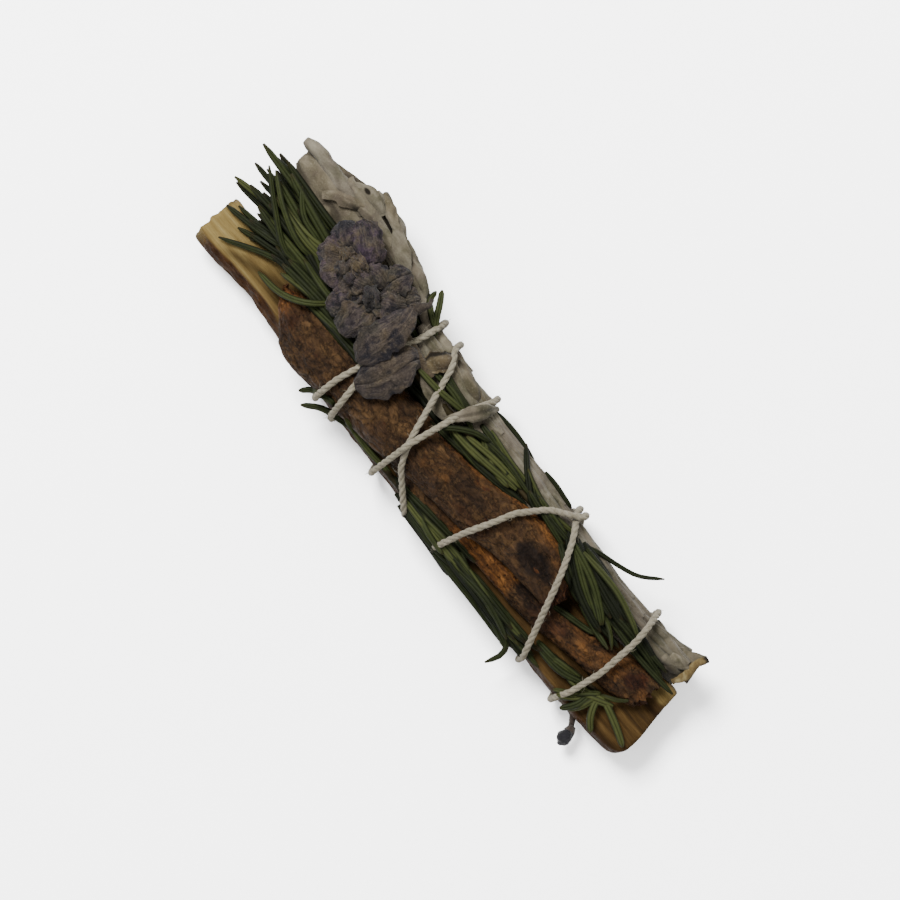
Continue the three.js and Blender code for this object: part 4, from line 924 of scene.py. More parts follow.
def blade(pile, spine, width, curl, crumple, seed, thickness, rows, columns, crease=0.0, pleats=0.0,
          ridge=0.0, valley_shade=0.0, stretch=5.0, fine=0.1, **values):
    """A leaf or petal along a spine, its sides curled down, crumpled like a dried one.

    Tone and the dark share may be functions of the grid and of the shares along and across it. Ridges of the
    crumple are painted lighter and its valleys darker, as highlight and shade.
    """
    t = np.linspace(0, 1, rows)
    s = np.linspace(-1, 1, columns)[None, :]
    p, side, lift = framed(Path(spine), t)
    angle = (s * curl)[..., None]
    wide = width(t)[:, None]
    rim = points(9 * t[:, None], 5 * np.sign(s), seed)
    ripple = 1 + 0.2 * noise(rim, 1, seed) + 0.12 * ridged(rim, 0.9, seed + 6) * smooth(t, 0.2, 0.5)[:, None]
    radius = (wide * ripple / curl)[..., None]
    grid = p[:, None] - side[:, None] * radius * np.sin(angle) + lift[:, None] * radius * (np.cos(angle) - 1)
    length = Path(spine).length
    flat = points(t[:, None] * length, s * (0.5 * wide + 0.5 * wide.max()), seed)
    flat[..., 1] += 0.5 * noise(grid, 2, seed + 7)
    relief = 0.55 * noise(grid, 3, seed + 1) + 0.5 * ridged(flat, (stretch, 1.3, 1), seed + 2)
    relief = relief + fine * ridged(flat, (0.4 * stretch, 0.55, 1), seed + 3)
    relief = relief + 0.5 * fine * noise(grid, 0.5, seed + 8)
    fold = np.cos(math.pi * 1.5 * s + 1.2 * t[:, None] + seed + 1.2 * noise(grid, 7, seed + 5))
    bend = crumple * relief + pleats * fold * (0.4 + 0.6 * wide / wide.max())
    bend = bend * smooth(np.minimum(t, 1)[:, None], 0, 0.15) * (0.6 + 0.4 * np.abs(s))
    rib = -crease * np.exp(-((s + 0.15 * np.sin(3 * t[:, None])) / 0.07) ** 2)
    grid = grid + lift[:, None] * (bend + rib)[..., None]
    # Painted highlights on the crumple's ridges and painted shade in its valleys
    high = relief + (0.9 * fold if pleats else 0)
    shade = {"tone": ridge * smooth(high, 0.35, 1.1), "stain": valley_shade * smooth(-high, -0.15, 0.8)}
    full = {"along": t[:, None], "across": both_faces(values.get("across", s), grid)}
    for key in ("tone", "stain"):
        value = values.get(key, 0.0)
        value = value(grid, t[:, None], s) if callable(value) else value
        full[key] = both_faces(np.clip(value + shade[key], 0, 1), grid)
    pile.tube(two_sided(grid, thickness), **full)


def sage():
    pile = Pile()
    x = np.linspace(ROLL_HEAD, ROLL_FOOT, 100)[:, None]
    turn = np.linspace(0, 2 * math.pi, 44, endpoint=False)[None, :]
    around = points(x + 0 * turn, 9 * np.sin(turn) + 0 * x, 9 * np.cos(turn) + 0 * x)
    core = on_roll(x + 0 * turn, turn + 0 * x, 0.25 * noise(around, (14, 2.4, 2.4), 1) - 0.15)
    # The core is painted dark as shade, so that the gaps between the wrapped leaves look dark
    pile.tube(core, tone=0.3, stain=0.8)
    for k, plan in enumerate(WRAPPED):
        wrapped_leaf(pile, plan, 30 + 7 * k)
    for k, (spine, width, curl, crumple, pleats, tan, dim) in enumerate(FREE_LEAVES):
        def shade(grid, t, s):
            return np.clip(tan + 0.3 * noise(grid, 4, 90 + k), 0, 1)

        # Each leaf's listed shade, with painted shade in a deep hollow among the head's leaves
        def dim_and_pit_shade(grid, t, s):
            return np.clip(dim + ellipse(grid, -38.1, 17, 0.9, 0.45, 21), 0, 1)

        blade(pile, spine, width, curl, crumple, 100 + 5 * k, 0.4, 46, 25, pleats=pleats,
              valley_shade=0.6 if k < 2 else 1.0, stretch=9.0, fine=0.06, tone=shade, stain=dim_and_pit_shade, across=0.0)
    stem = Path([(38, 7.2, 7), (44, 8.2, 7.4), (47.5, 9.2, 7.6)])
    round_rod(pile, stem, lambda t: 1.9 - 0.3 * t, 40, 20, 0.12, 3, tone=0.85, stain=0.3)
    blade(pile, [(40, 8.4, 8.6), (44.5, 9.8, 8.6), (47, 12, 8.3)], leaf_shape(1.2, 0.9, 0.4), 0.6, 0.4,
          9, 0.4, 40, 21, valley_shade=0.8, tone=0.3, across=0.0)
    for k, (x, y) in enumerate(((42.6, 7.6), (43.8, 8.8), (44.6, 7.4), (45.2, 9.2))):
        spine = [(x - 1.2, y - 0.5, 9.2), (x, y, 10), (x + 1.4, y + 0.4, 9.3)]
        blade(pile, spine, leaf_shape(0.6), 1.0, 0.4, 500 + 7 * k, 0.3, 20, 13, valley_shade=0.9, tone=0.2,
              across=0.0)
    # A narrow leaf that lies over the second pass of the twine
    crossed = FRONTS[1]
    spine = []
    for x, y, lift in ((-1.2, 11.8, 0.1), (-1.8, 10.6, 0.8), (-2.7, 8.9, 0.8), (-3.6, 7.3, 0.8),
                       (-4.4, 5.7, 0.7), (-4.9, 4.5, 0.3)):
        i = int(np.abs(crossed[:, 1] - y).argmin())
        spine.append((x, y, crossed[i, 2] + lift))
    narrow = along([(0, 0.3), (0.2, 0.7), (0.55, 1.1), (0.85, 0.65), (1, 0.25)])
    blade(pile, spine, narrow, 0.75, 0.14, 77, 0.3, 44, 17, pleats=0.1, valley_shade=0.4, tone=0.2, stain=0.15,
          across=0.0)
    # The torn end of the stem, a pale strip across its foot with a brown tip
    def tip(grid, t, s):
        return smooth(t, 0.86, 0.97) + 0 * s

    blade(pile, [(46.2, 6.3, 8), (46.7, 8.4, 9.3), (46.4, 10.4, 9.3), (47, 12.4, 8.6)],
          leaf_shape(0.6, 0.8, 0.6), 0.7, 0.45, 12, 0.5, 40, 15, valley_shade=0.6, across=1.0, stain=tip)
    pile.make("white_sage_bundle", "white_sage_roll", sage_finish(), 70)


# Rosemary

def underneath(x, y):
    on_stick = (x > HEAD - 1) & (y > stick_near(x) + 0.6) & (y < stick_far(x))
    return np.maximum.reduce([
        np.where(on_stick, stick_top(x, y), 0),
        bark_top(INNER_BARK, x, y),
        bark_top(OUTER_BARK, x, y),
        roll_top(x, y) + np.where(x > ROLL_HEAD, 0.6, 0),
    ])


NEEDLE_THICK = along([(0, 0.5), (0.1, 0.85), (0.4, 1), (0.8, 0.92), (0.94, 0.74), (1, 0.3)])
# A needle's section: its back with the midrib groove, then the rolled edges and the pale underside
SECTION = np.array([(-0.5, 0.05), (-0.42, 0.34), (-0.2, 0.5), (-0.06, 0.47), (0, 0.36), (0.06, 0.47),
                    (0.2, 0.5), (0.42, 0.34), (0.5, 0.05), (0.36, -0.12), (0.12, -0.02), (-0.12, -0.02),
                    (-0.36, -0.12)])


def needle(pile, through, stack=0.0, width=1.05, tone=None, twist=None):
    path = Path(through)
    t = np.linspace(0, 1, 15)
    p, side, lift = framed(path, t)
    floor = underneath(p[:, 0], p[:, 1]) + 0.15 + stack
    p[:, 2] = mix(p[:, 2], np.maximum(p[:, 2], floor), smooth(t, 0, 0.2))
    roll = (DICE.normal(0, 0.35) if twist is None else twist) + DICE.normal(0, 0.4) * t
    across = side * np.cos(roll)[:, None] + lift * np.sin(roll)[:, None]
    up = lift * np.cos(roll)[:, None] - side * np.sin(roll)[:, None]
    wide = (width * NEEDLE_THICK(t))[:, None, None]
    deep = (0.8 * width * NEEDLE_THICK(t))[:, None, None]
    rings = p[:, None] - across[:, None] * SECTION[None, :, :1] * wide
    rings = rings + up[:, None] * SECTION[None, :, 1:] * deep
    if tone is None:
        tone = DICE.choice([0.15, 0.4, 0.75], p=[0.3, 0.35, 0.35]) + DICE.normal(0, 0.1)
    pile.tube(rings, along=t[:, None], across=2 * SECTION[None, :, 0] + 0 * t[:, None], tone=tone)


def sheaf(pile, roots, tips, count, width=1.15, light=0.35, bow=0.5):
    """Needles with roots between two places and tips between two others, in nearly even order."""
    roots, tips = np.array(roots, float), np.array(tips, float)
    for k in range(count):
        u = (k + DICE.uniform(0.05, 0.95)) / count
        root = mix(roots[0], roots[1], u) + DICE.normal(0, [1.2, 0.25, 0.2])
        reach = np.clip(u + DICE.normal(0, 0.14), -0.05, 1.05)
        tip = mix(tips[0], tips[1], reach) + DICE.normal(0, [1.5, 0.3, 0.4])
        onward = tip - root
        aside = np.array([-onward[1], onward[0], 0]) / np.linalg.norm(onward[:2])
        swing = bow * (2 * u - 1) + DICE.normal(0, 0.45)
        middle = mix(root, tip, 0.5) + aside * swing + [0, 0, DICE.uniform(0, 0.7)]
        late = mix(root, tip, 0.8) + aside * swing * 0.6
        tone = np.clip(light + DICE.normal(0, 0.25), 0, 1)
        needle(pile, [root, middle, late, tip], DICE.uniform(0, 0.7), width * DICE.uniform(0.8, 1.15), tone)


# Each sheaf: roots, tips, count, width, lightness, and a bow for some. The lower sheaves of a sprig are
# mostly given darker tones than those over them, as painted shade under them.
SPRIGS = {
    "head": {
        "stem": [(-6, 1.2, 8.9), (-16, 3.2, 9.2), (-26, 5, 9.6), (-36, 6, 9.8)],
        "radius": 0.75,
        "sheaves": [
            ([(-33, 1.8, 8.4), (-29, 11.6, 8.6)], [(-46.5, -0.4, 7.8), (-49, 11.4, 8.8)], 25, 1.2, 0.1),
            ([(-32, 1.6, 9.6), (-29, 10, 9.8)], [(-46, 0.6, 9.2), (-49.5, 10.4, 10.2)], 15, 1.3, 0.4),
            ([(-31, 2, 10.8), (-29, 9.4, 11)], [(-44, 1.4, 10.6), (-47, 10, 11.2)], 9, 1.4, 0.65),
            ([(-25, 0.2, 10.2), (-24, 5.4, 10.6)], [(-39, -0.4, 9.6), (-41, 8.2, 11.4)], 10, 1.25, 0.3),
            ([(-24, 0.4, 11.2), (-24, 4, 11.4)], [(-37, -0.6, 10.8), (-38, 3.6, 12)], 4, 1.3, 0.6),
            ([(-17, -0.2, 11), (-17, 3.4, 11)], [(-31, -1.2, 10), (-33, 3.4, 11)], 6, 1.25, 0.35),
            ([(-16, 2.6, 9.8), (-16, 8.6, 9.8)], [(-31, 2.4, 9.8), (-32, 10.6, 10)], 14, 1.3, 0.0),
            ([(-18, 5, 11), (-18, 10.4, 10.6)], [(-29, 3, 11), (-30, 12.6, 10.8)], 8, 1.3, 0.1),
        ],
        "strays": [
            [(-29, 5.1, 9.7), (-33, 2.4, 9.6), (-40, 0, 8.2), (-47.1, -4.2, 7.6)],
            [(-27, 5, 9.7), (-31, -0.2, 12.4), (-35, -2.4, 9.6), (-39.4, -2.9, 7.6)],
            [(-33, 5.6, 9.8), (-38, 2, 11.2), (-45, 5, 12), (-50.2, 8.2, 11.8)],
            [(-33, 5.6, 9.8), (-38, 4.4, 11.8), (-44, 6, 12.3), (-49, 8.6, 12)],
            [(-32, 5.6, 9.8), (-37, 6.9, 11.8), (-41, 7.4, 12.2), (-44.8, 10, 12.2)],
            [(-35, 5.8, 9.8), (-40, 2.3, 9.4), (-45, 0.8, 8.4), (-50, -0.3, 7.8)],
            [(-36, 6, 9.8), (-43, 5, 9.4), (-48, 4.2, 9), (-52.4, 3.3, 8.8)],
            [(-36, 6, 9.8), (-43, 7, 9.8), (-48, 6.9, 9.8), (-52, 6.9, 9.6)],
            [(-36, 6, 9.8), (-42, 9, 10), (-47, 9.9, 10), (-51.4, 9.6, 9.8)],
            [(-15.4, 11.4, 11), (-17, 12.8, 11), (-18.6, 14.8, 10.4), (-20, 16.4, 9.6)],
            [(-16.4, 12, 11), (-18.6, 13, 11.2), (-20, 14, 10.6), (-20.4, 15.6, 9.8)],
        ],
    },
    "far": {
        "stem": [(-14, 5.6, 11.1), (-5, 5.8, 11), (6, 6.4, 10.9), (18, 7, 11), (28, 6.4, 10.6),
                 (35, 6, 10.1)],
        "radius": 0.6,
        "sheaves": [
            ([(11, 5.8, 11), (12, 7.6, 10.6)], [(-4.2, 3, 11.4), (-2, 6.4, 11.4)], 7, 1.2, 0.25, -0.6),
            ([(9, 6.2, 11.8), (12, 7.6, 11.4)], [(-2.6, 3.6, 12.2), (0, 6.6, 11.8)], 4, 1.2, 0.6, -0.5),
            ([(0, 7.2, 11), (1, 9.2, 10.6)], [(7.4, 5.4, 12), (10, 8.6, 11)], 4, 1.1, 0.45),
            ([(-3, 7.2, 11), (-3, 8.8, 10.8)], [(-11, 7.4, 11.6), (-10, 9, 11.4)], 3, 1.1, 0.2),
            ([(20, 6.4, 11.6), (20, 8.8, 11)], [(10.6, 6.6, 12.4), (11.6, 9.6, 11)], 5, 1.15, 0.4),
            ([(18.6, 6.6, 11), (21, 9.4, 10.4)], [(30.6, 2.6, 10.8), (36, 6.9, 9.8)], 12, 1.15, 0.05),
            ([(19.4, 7.2, 12), (23, 8.7, 11.4)], [(32, 2.6, 11.2), (36.4, 6.7, 10.6)], 7, 1.2, 0.5),
            ([(25, 5, 10.4), (27, 7, 10.4)], [(36, 3.4, 9.8), (38.6, 6.2, 10)], 5, 1.1, 0.25),
            ([(31.4, 4.8, 9.6), (31.4, 7.2, 9.8)], [(43.8, 5.1, 8.8), (44.6, 6.5, 9)], 5, 1.15, 0.1, 0.2),
            ([(-3, 3.4, 8.8), (-3, 5.6, 9)], [(-14, 3.2, 8.6), (-14, 5.8, 8.8)], 6, 1.4, 0.0, 0.1),
        ],
        "strays": [
            [(17, 7.2, 11), (13, 6.8, 11.5), (9, 9, 11.2), (5.4, 11.7, 8.8)],
            [(24, 6.8, 10.8), (30, 4.8, 10.6), (34, 3.9, 10.6), (36.8, 2.2, 11.4)],
            [(22, 7, 10.8), (27.4, 3.6, 9.4), (32, 2.4, 9.6), (36.4, 1.9, 11.3)],
            [(25.4, -0.6, 9), (28.5, 0.3, 9.4), (31.5, 1.1, 9.4), (33.6, 1.8, 9.8)],
            [(1.6, 7.7, 12), (-0.6, 6.9, 12.6), (-2.8, 5.2, 13), (-4.6, 3.2, 13.2)],
        ],
        "thin": [
            [(20, 7.3, 11), (24, 9.6, 9.8), (28, 10.9, 8.4), (31, 12.2, 8.4), (33.8, 14.9, 8.8)],
            [(-1, 11.3, 8.4), (2, 11.5, 8.4), (5, 11.4, 8.4), (8.4, 10.9, 8.4)],
            [(10.4, 11.3, 8.4), (13, 11.3, 8.4), (15, 11.1, 8.4), (17, 10.9, 8.4)],
        ],
    },
    "near": {
        "stem": [(-22, -5.6, 7.9), (-12, -6.6, 7.8), (-2, -6.9, 7.9), (8, -7.1, 8), (16, -7.1, 8)],
        "radius": 0.6,
        "sheaves": [
            ([(-1.5, -6.2, 8.4), (0, -8.8, 7.4)], [(12.6, -5.6, 8.8), (12, -8.9, 7.4)], 9, 1.2, 0.2),
            ([(0, -6.6, 9), (1, -8, 8.4)], [(14, -6, 9.4), (13, -8.8, 8.4)], 4, 1.25, 0.6),
            ([(9, -6, 8.6), (10, -9, 7.4)], [(26.5, -6.2, 8.6), (24.5, -9.6, 7.2)], 9, 1.2, 0.2),
            ([(11, -6.2, 9.2), (12, -8.4, 8.4)], [(26, -6, 9.2), (25.6, -9.2, 8.2)], 5, 1.25, 0.55),
            ([(16, -6.2, 8.2), (17, -8.6, 7.6)], [(31, -6.4, 8.2), (28.5, -9.3, 7.4)], 6, 1.15, 0.35),
        ],
        "strays": [
            [(-4, -6.6, 8), (-8, -7, 8.2), (-11, -6.9, 8.2), (-14.4, -6.6, 8)],
            [(-12, -6.6, 7.8), (-15, -7.4, 7.8), (-17.8, -8.4, 7.4), (-20.2, -10.5, 7)],
            [(-16, -6.2, 7.8), (-19, -7, 7.8), (-20.8, -7.8, 7.5), (-22, -9.4, 7.2)],
            [(15, -7.1, 8), (21, -8, 7.8), (26, -8.8, 7.6), (27.2, -10.6, 7.2), (26.6, -13.5, 6.8)],
        ],
    },
    "foot": {
        "stem": [(29.4, -6.2, 7.9), (32.4, -5, 8.1), (37, -3.9, 8.1), (41.4, -3.1, 8.1)],
        "radius": 0.5,
        "width": 1.2,
        "tone": 0.92,
        "sheaves": [
            ([(30, -6, 8), (31, -5, 8.2)], [(38, -4.4, 8.4), (39, -3.4, 8.6)], 3, 1.1, 0.65, 0.2),
            ([(41.2, -2.8, 8.3), (42, -3.8, 8.3)], [(36.2, -7.4, 8), (39.8, -8.6, 7.6)], 6, 1.2, 0.8, 0.3),
        ],
        "strays": [
            [(41, -3.3, 8.2), (40, -5, 8.3), (38.6, -6.8, 8.1), (36.9, -8.2, 7.9)],
            [(41, -3.3, 8.2), (40.8, -5.2, 8.5), (40.4, -6.8, 8.3), (39.6, -8.4, 7.6)],
            [(41.2, -3.3, 8.2), (41.7, -5, 8.4), (42.8, -6.6, 8.2), (44.5, -7.9, 7.7)],
            [(41.2, -3.2, 8.2), (43.4, -3.6, 8.4), (46.4, -4.5, 8.1), (49.2, -5.6, 7.8)],
            [(41.2, -3.2, 8.2), (42.2, -2.4, 8.8), (43.2, -1.6, 8.7), (44.2, -0.4, 8.6)],
            [(34, -4.6, 8), (37, -5.2, 8.3), (40, -4.3, 8.5), (42.4, -3.2, 8.7)],
        ],
    },
}


def sprigs():
    finish = needle_finish()
    for name, plan in SPRIGS.items():
        pile = Pile()
        radius = plan["radius"]
        stem = Path(plan["stem"])
        round_rod(pile, stem, lambda t: radius * (1 - 0.35 * t), 60, 10, 0.1, 5, stain=0.6, tone=0.3)
        for item in plan["sheaves"]:
            sheaf(pile, *item)
        for through in plan["strays"]:
            needle(pile, through, 0, plan.get("width", 1.05), plan.get("tone"))
        for through in plan.get("thin", []):
            needle(pile, through, 0, 0.75, 0.2)
        if name == "far":
            # One needle lies over the sixth pass of the twine
            crossed = FRONTS[5]
            i = int(np.abs(crossed[:, 1] - 6.6).argmin())
            high = crossed[i, 2] + 0.7
            through = [(-3, 7.7, high - 1.2), (-6.2, 7.1, high - 0.3), (-9, 6.6, high),
                       (-13.6, 6.3, high - 0.4)]
            needle(pile, through, 0, 1.15, 0.75, 0.1)
        pile.make("rosemary_" + name, "rosemary_sprig_" + name, finish, 75)


# The larkspur spike

SPIKE_STEM = [(-11, 7, 11.9), (-19, 8, 12.9), (-27, 8.6, 12.9), (-33, 9.3, 13)]
# Sepals: spine, half width, curl, crumple, cream share, navy share, crease
SEPALS = [
    ([(-28.2, 10.2, 13.2), (-30.4, 11.4, 14.6), (-33, 12.7, 14.9), (-35.3, 13.6, 14.2)],
     2.5, 0.25, 0.3, 0.0, 0.15, 0),
    ([(-32.2, 9.4, 13.2), (-34, 10.2, 14.4), (-35.6, 10.9, 14.4), (-36.9, 11.4, 13.5)],
     2.6, 0.5, 0.3, 0.1, 1.0, 0),
    ([(-31.6, 8.8, 13.2), (-33.4, 7.6, 14.4), (-34.7, 6.6, 14.4), (-35.8, 5.7, 13.6)],
     2.4, 0.35, 0.34, 0.1, 0.5, 0),
    ([(-31, 8.4, 13.1), (-31.8, 6.6, 14.5), (-32.2, 5.1, 14.5), (-32.6, 3.9, 13.7)],
     2.6, 0.3, 0.34, 0.15, 0.3, 0),
    ([(-29.6, 8.6, 13), (-29.2, 6.8, 14.4), (-29.4, 5.2, 14.4), (-29.4, 3.9, 13.8)],
     2.2, 0.3, 0.36, 0.2, 0.1, 0),
    ([(-30, 9.2, 13.1), (-28.4, 9.8, 14.7), (-26.8, 10.2, 14.7), (-25.4, 10.2, 14)],
     2.0, 0.3, 0.36, 0.25, 0.1, 0),
    ([(-26.4, 7.4, 13), (-27, 5.2, 14.3), (-27.8, 3.4, 14.4), (-28.8, 1.7, 13.7)],
     2.4, 0.3, 0.36, 0.05, 0.4, 0),
    ([(-25, 7.4, 13), (-24.6, 4.8, 14.7), (-24.4, 2.8, 14.7), (-24, 0.9, 13.9)],
     2.9, 0.3, 0.36, 0.0, 0.45, 0),
    ([(-25.4, 8.6, 13.2), (-25.2, 10.8, 14.5), (-24.9, 12.7, 14.6), (-24.6, 14.4, 13.9)],
     2.3, 0.3, 0.25, 0.0, 0.2, 0.3),
    ([(-25.8, 8.2, 13.3), (-27.4, 8.2, 14.9), (-28.8, 7.6, 15), (-30, 6.8, 14.4)],
     1.8, 0.4, 0.36, 0.2, 0.1, 0),
    ([(-25.6, 7.4, 13.3), (-23.6, 8.4, 15), (-22.2, 9.4, 15), (-21.2, 10.6, 14.3)],
     2.3, 0.3, 0.36, 0.1, 0.2, 0),
    ([(-22.6, 9.4, 12.8), (-21.9, 11.4, 13.9), (-21.4, 12.4, 13.9), (-21, 13, 13.2)],
     1.7, 0.4, 0.36, 0.0, 0.1, 0),
    ([(-23.4, 8.4, 12.6), (-22.4, 6, 13.8), (-22, 4, 13.9), (-22.2, 2, 13.6)], 2.2, 0.3, 0.36, 0.0, 0.5, 0),
    ([(-20.6, 11.4, 14), (-19.9, 9, 15.7), (-19.8, 6.4, 16.2), (-19.7, 4, 16.2), (-19.6, 2, 15.9),
      (-19.4, 0, 15.2)], 2.8, 0.35, 0.2, 0.05, 0.55, 0),
    ([(-14, 7.6, 12.6), (-14.7, 6.4, 14.4), (-15.1, 4.2, 15.3), (-15.7, 1.6, 15.5), (-16.3, -0.6, 15.2),
      (-17.2, -2.4, 14.7)], 3.2, 0.4, 0.2, 0.1, 0.6, 0.3),
]


def larkspur():
    pile = Pile()
    round_rod(pile, Path(SPIKE_STEM), lambda t: 0.75 - 0.15 * t, 60, 10, 0.1, 4, tone=0.7)
    for k, (spine, half, curl, crumple, cream, navy, crease) in enumerate(SEPALS):
        def pale(grid, t, s):
            return np.clip(cream + 0.4 * noise(grid, 1.6, 40 + k), 0, 1)

        def blue(grid, t, s):
            outer = navy * smooth(t, 0.45, 0.95) * (1 + 0.6 * noise(grid, 1.6, 60 + k))
            return np.clip(outer + 0.35 * smooth(np.abs(s), 0.9, 1), 0, 1)

        blade(pile, spine, petal_shape(half), curl, crumple, 200 + 5 * k, 0.2, 56, 33, crease,
              ridge=0.5, valley_shade=1.1, stretch=2.4, fine=0.34, tone=pale, stain=blue)
    # The small crumpled petals of both hearts
    for k in range(15):
        first = k < 10
        x, y = (-30.4, 8.1) if first else (-25.6, 7.2)
        turn = 2.4 * k
        far = 0.5 * math.sqrt(k % 10)
        x, y = x + 1.35 * far * math.cos(turn), y + 1.15 * far * math.sin(turn)
        dx, dy = 1.5 * math.cos(3.1 * k), 1.5 * math.sin(3.1 * k)
        high = 0.25 * (k % 4)
        spine = [(x - dx, y - dy, 13.2), (x - 0.4 * dx, y - 0.4 * dy, 14.2 + high),
                 (x + 0.4 * dx, y + 0.4 * dy, 14.7 + high), (x + dx, y + dy, 14.0 + high)]
        blade(pile, spine, petal_shape(1.05), -0.35, 0.5, 300 + 9 * k, 0.16, 26, 19,
              ridge=0.5, valley_shade=1.2, stretch=1.2, fine=0.4,
              tone=(0.7 if first else 0.25) - 0.3 * (k % 3), stain=0.25 * (k % 3))
    # The withered stalk of a lost flower, upright beside the twine
    lost = Path([(-20.4, 10.4, 12.8), (-20, 12, 13.6), (-19.4, 13.4, 13.9), (-19.8, 14.3, 13.6)])
    round_rod(pile, lost, lambda t: 0.55 + 0.25 * np.sin(5 * t), 24, 12, 0.25, 7, stain=0.5, tone=0.4)
    pile.make("larkspur_flowers", "larkspur_spike", petal_finish(), 75)


def bud():
    pile = Pile()
    stalk = Path([(30, -7.9, 2.1), (37, -8, 2.2), (41, -8.4, 2.4), (42.7, -10, 2.8)])
    round_rod(pile, stalk, lambda t: 0.45 + 0 * t, 50, 10, 0.08, 2, stain=1.0)
    head = Path([(42.5, -9.6, 2.7), (42.9, -10.8, 3), (43.1, -11.9, 3), (43.2, -12.8, 2.8)])
    swell = along([(0, 0.5), (0.35, 0.95), (0.7, 1.05), (1, 0.4)])
    round_rod(pile, head, swell, 40, 26, 0.22, 3)
    collar = along([(0, 0.5), (0.5, 0.75), (1, 0.9)])
    round_rod(pile, Path([(42.5, -9.5, 2.7), (42.8, -10.4, 2.95)]), collar, 12, 22, 0.1, 4, stain=0.9)
    pile.make("larkspur_closed_bud", "larkspur_bud", bud_finish(), 75)


# The twine

# How far a strand's line keeps off the pieces over and under it, and off an earlier strand
OVER_PIECE = 0.66
UNDER_PIECE = 0.9
OVER_STRAND = 1.16
# One turn of the plies, their distance from the cord's line, their radius, and stray fibres to a millimetre
LAY = 3.9
PLY_CENTRE = 0.19
PLY_RADIUS = 0.34
HAIRS = 0.45
# The lowest that the cord's line runs over the ground
LOWEST = 0.63

# Where each pass runs over the front, as (Y, X), from the near side to the far side
NEAR_TURN = -8.8
PASSES = [
    [(NEAR_TURN, -19.7), (-3, -19.4), (0.5, -19), (4, -17.6), (7, -16.6), (12.8, -16)],
    [(NEAR_TURN, -5.8), (0, -5.3), (3, -4.9), (6, -4.5), (11.8, -2.4)],
    [(NEAR_TURN, 8.6), (-5, 9.3), (0, 11), (5, 12.6), (7, 14), (9, 16), (11.2, 19.2)],
    [(NEAR_TURN, 37.2), (-4.5, 38.2), (0, 38.4), (5, 38.1), (10.4, 37.2)],
    [(NEAR_TURN, 29.6), (-4, 27.1), (0, 25.1), (4, 23.1), (7.5, 21), (11.2, 18)],
    [(NEAR_TURN, 2.2), (-6.5, -1.9), (-3.5, -4.5), (-1.5, -5.6), (5.3, -8.6), (10, -10.1), (12.4, -12.1)],
    [(NEAR_TURN, -15.9), (-2, -17.2), (4, -18.6), (12.8, -20.2)],
]
KNOT_LUMP = [(-20, 8.2, 2.4), (-20, 7.2, 1.9), (-19.9, 5.6, 1.5)]
TAILS = [
    [(-20, 6.4, 1.5), (-17.4, 5.9, 1.1), (-14.6, 6.8, 1.2)],
    [(-20, 7.2, 1.8), (-22.8, 6.6, 1.1), (-25.6, 7.6, 1.3)],
]


def pad(x0, x1, middle, height, half_width, half_height):
    """A level rod of oval section, for soft things that the twine is pulled over."""
    x = np.linspace(x0, x1, 12)[:, None]
    turn = np.linspace(0, 2 * math.pi, 24, endpoint=False)[None, :]
    return points(x, middle + half_width * np.cos(turn), height + half_height * np.sin(turn))


def crossings(a, b, route):
    """Where the upright surface over a route cuts the lines from a to b: (Y, height) of each crossing."""
    a, b = a.reshape(-1, 3), b.reshape(-1, 3)
    da, db = a[:, 0] - route(a[:, 1]), b[:, 0] - route(b[:, 1])
    cut = da * db < 0
    return mix(a[cut], b[cut], (da[cut] / (da[cut] - db[cut]))[:, None])[:, 1:]


def taut_side(centres, offsets, upper):
    """The upper or lower side of the taut loop round points, each kept off by its offset."""
    turn = np.linspace(0, 2 * math.pi, 24, endpoint=False)
    ring = np.stack([np.cos(turn), np.sin(turn)], -1)
    cloud = (centres[:, None] + offsets[:, None, None] * ring).reshape(-1, 2)
    sign = 1 if upper else -1
    cloud = cloud[np.lexsort((sign * cloud[:, 1], cloud[:, 0]))]
    chain = []
    for p in cloud:
        while len(chain) > 1:
            a, b = chain[-2], chain[-1]
            if sign * ((b[0] - a[0]) * (p[1] - a[1]) - (b[1] - a[1]) * (p[0] - a[0])) < 0:
                break
            chain.pop()
        chain.append(p)
    return np.array(chain)


def strand(supports, wound, pairs, upper):
    """One side of a turn: a smooth line over the supports and the strands wound before it."""
    route = along(sorted(pairs))
    centres = []
    for grid in supports:
        centres += [crossings(grid[:-1], grid[1:], route), crossings(grid[:, :-1], grid[:, 1:], route)]
    offsets = [np.full(len(c), OVER_PIECE if upper else UNDER_PIECE) for c in centres]
    for line in wound if upper else []:
        in_front = line[:-1, 2] > 5
        found = crossings(line[:-1][in_front], line[1:][in_front], route)
        centres.append(found)
        offsets.append(np.full(len(found), OVER_STRAND))
    chain = taut_side(np.vstack(centres), np.concatenate(offsets), upper)
    return np.stack([route(chain[:, 0]), chain[:, 0], chain[:, 1]], -1)


def evened(line, step):
    run = distances(line)
    return read(line, run, np.linspace(0, run[-1], max(int(run[-1] / step), 2)))


def softened(line, width, closed):
    """The line with its corners rounded over a number of points."""
    window = np.hanning(2 * width + 3)[1:-1]
    window = window / window.sum()
    mode = "wrap" if closed else "edge"
    padded = np.pad(line, ((width, width), (0, 0)), mode=mode)
    return np.stack([np.convolve(padded[:, k], window, "valid") for k in range(3)], -1)


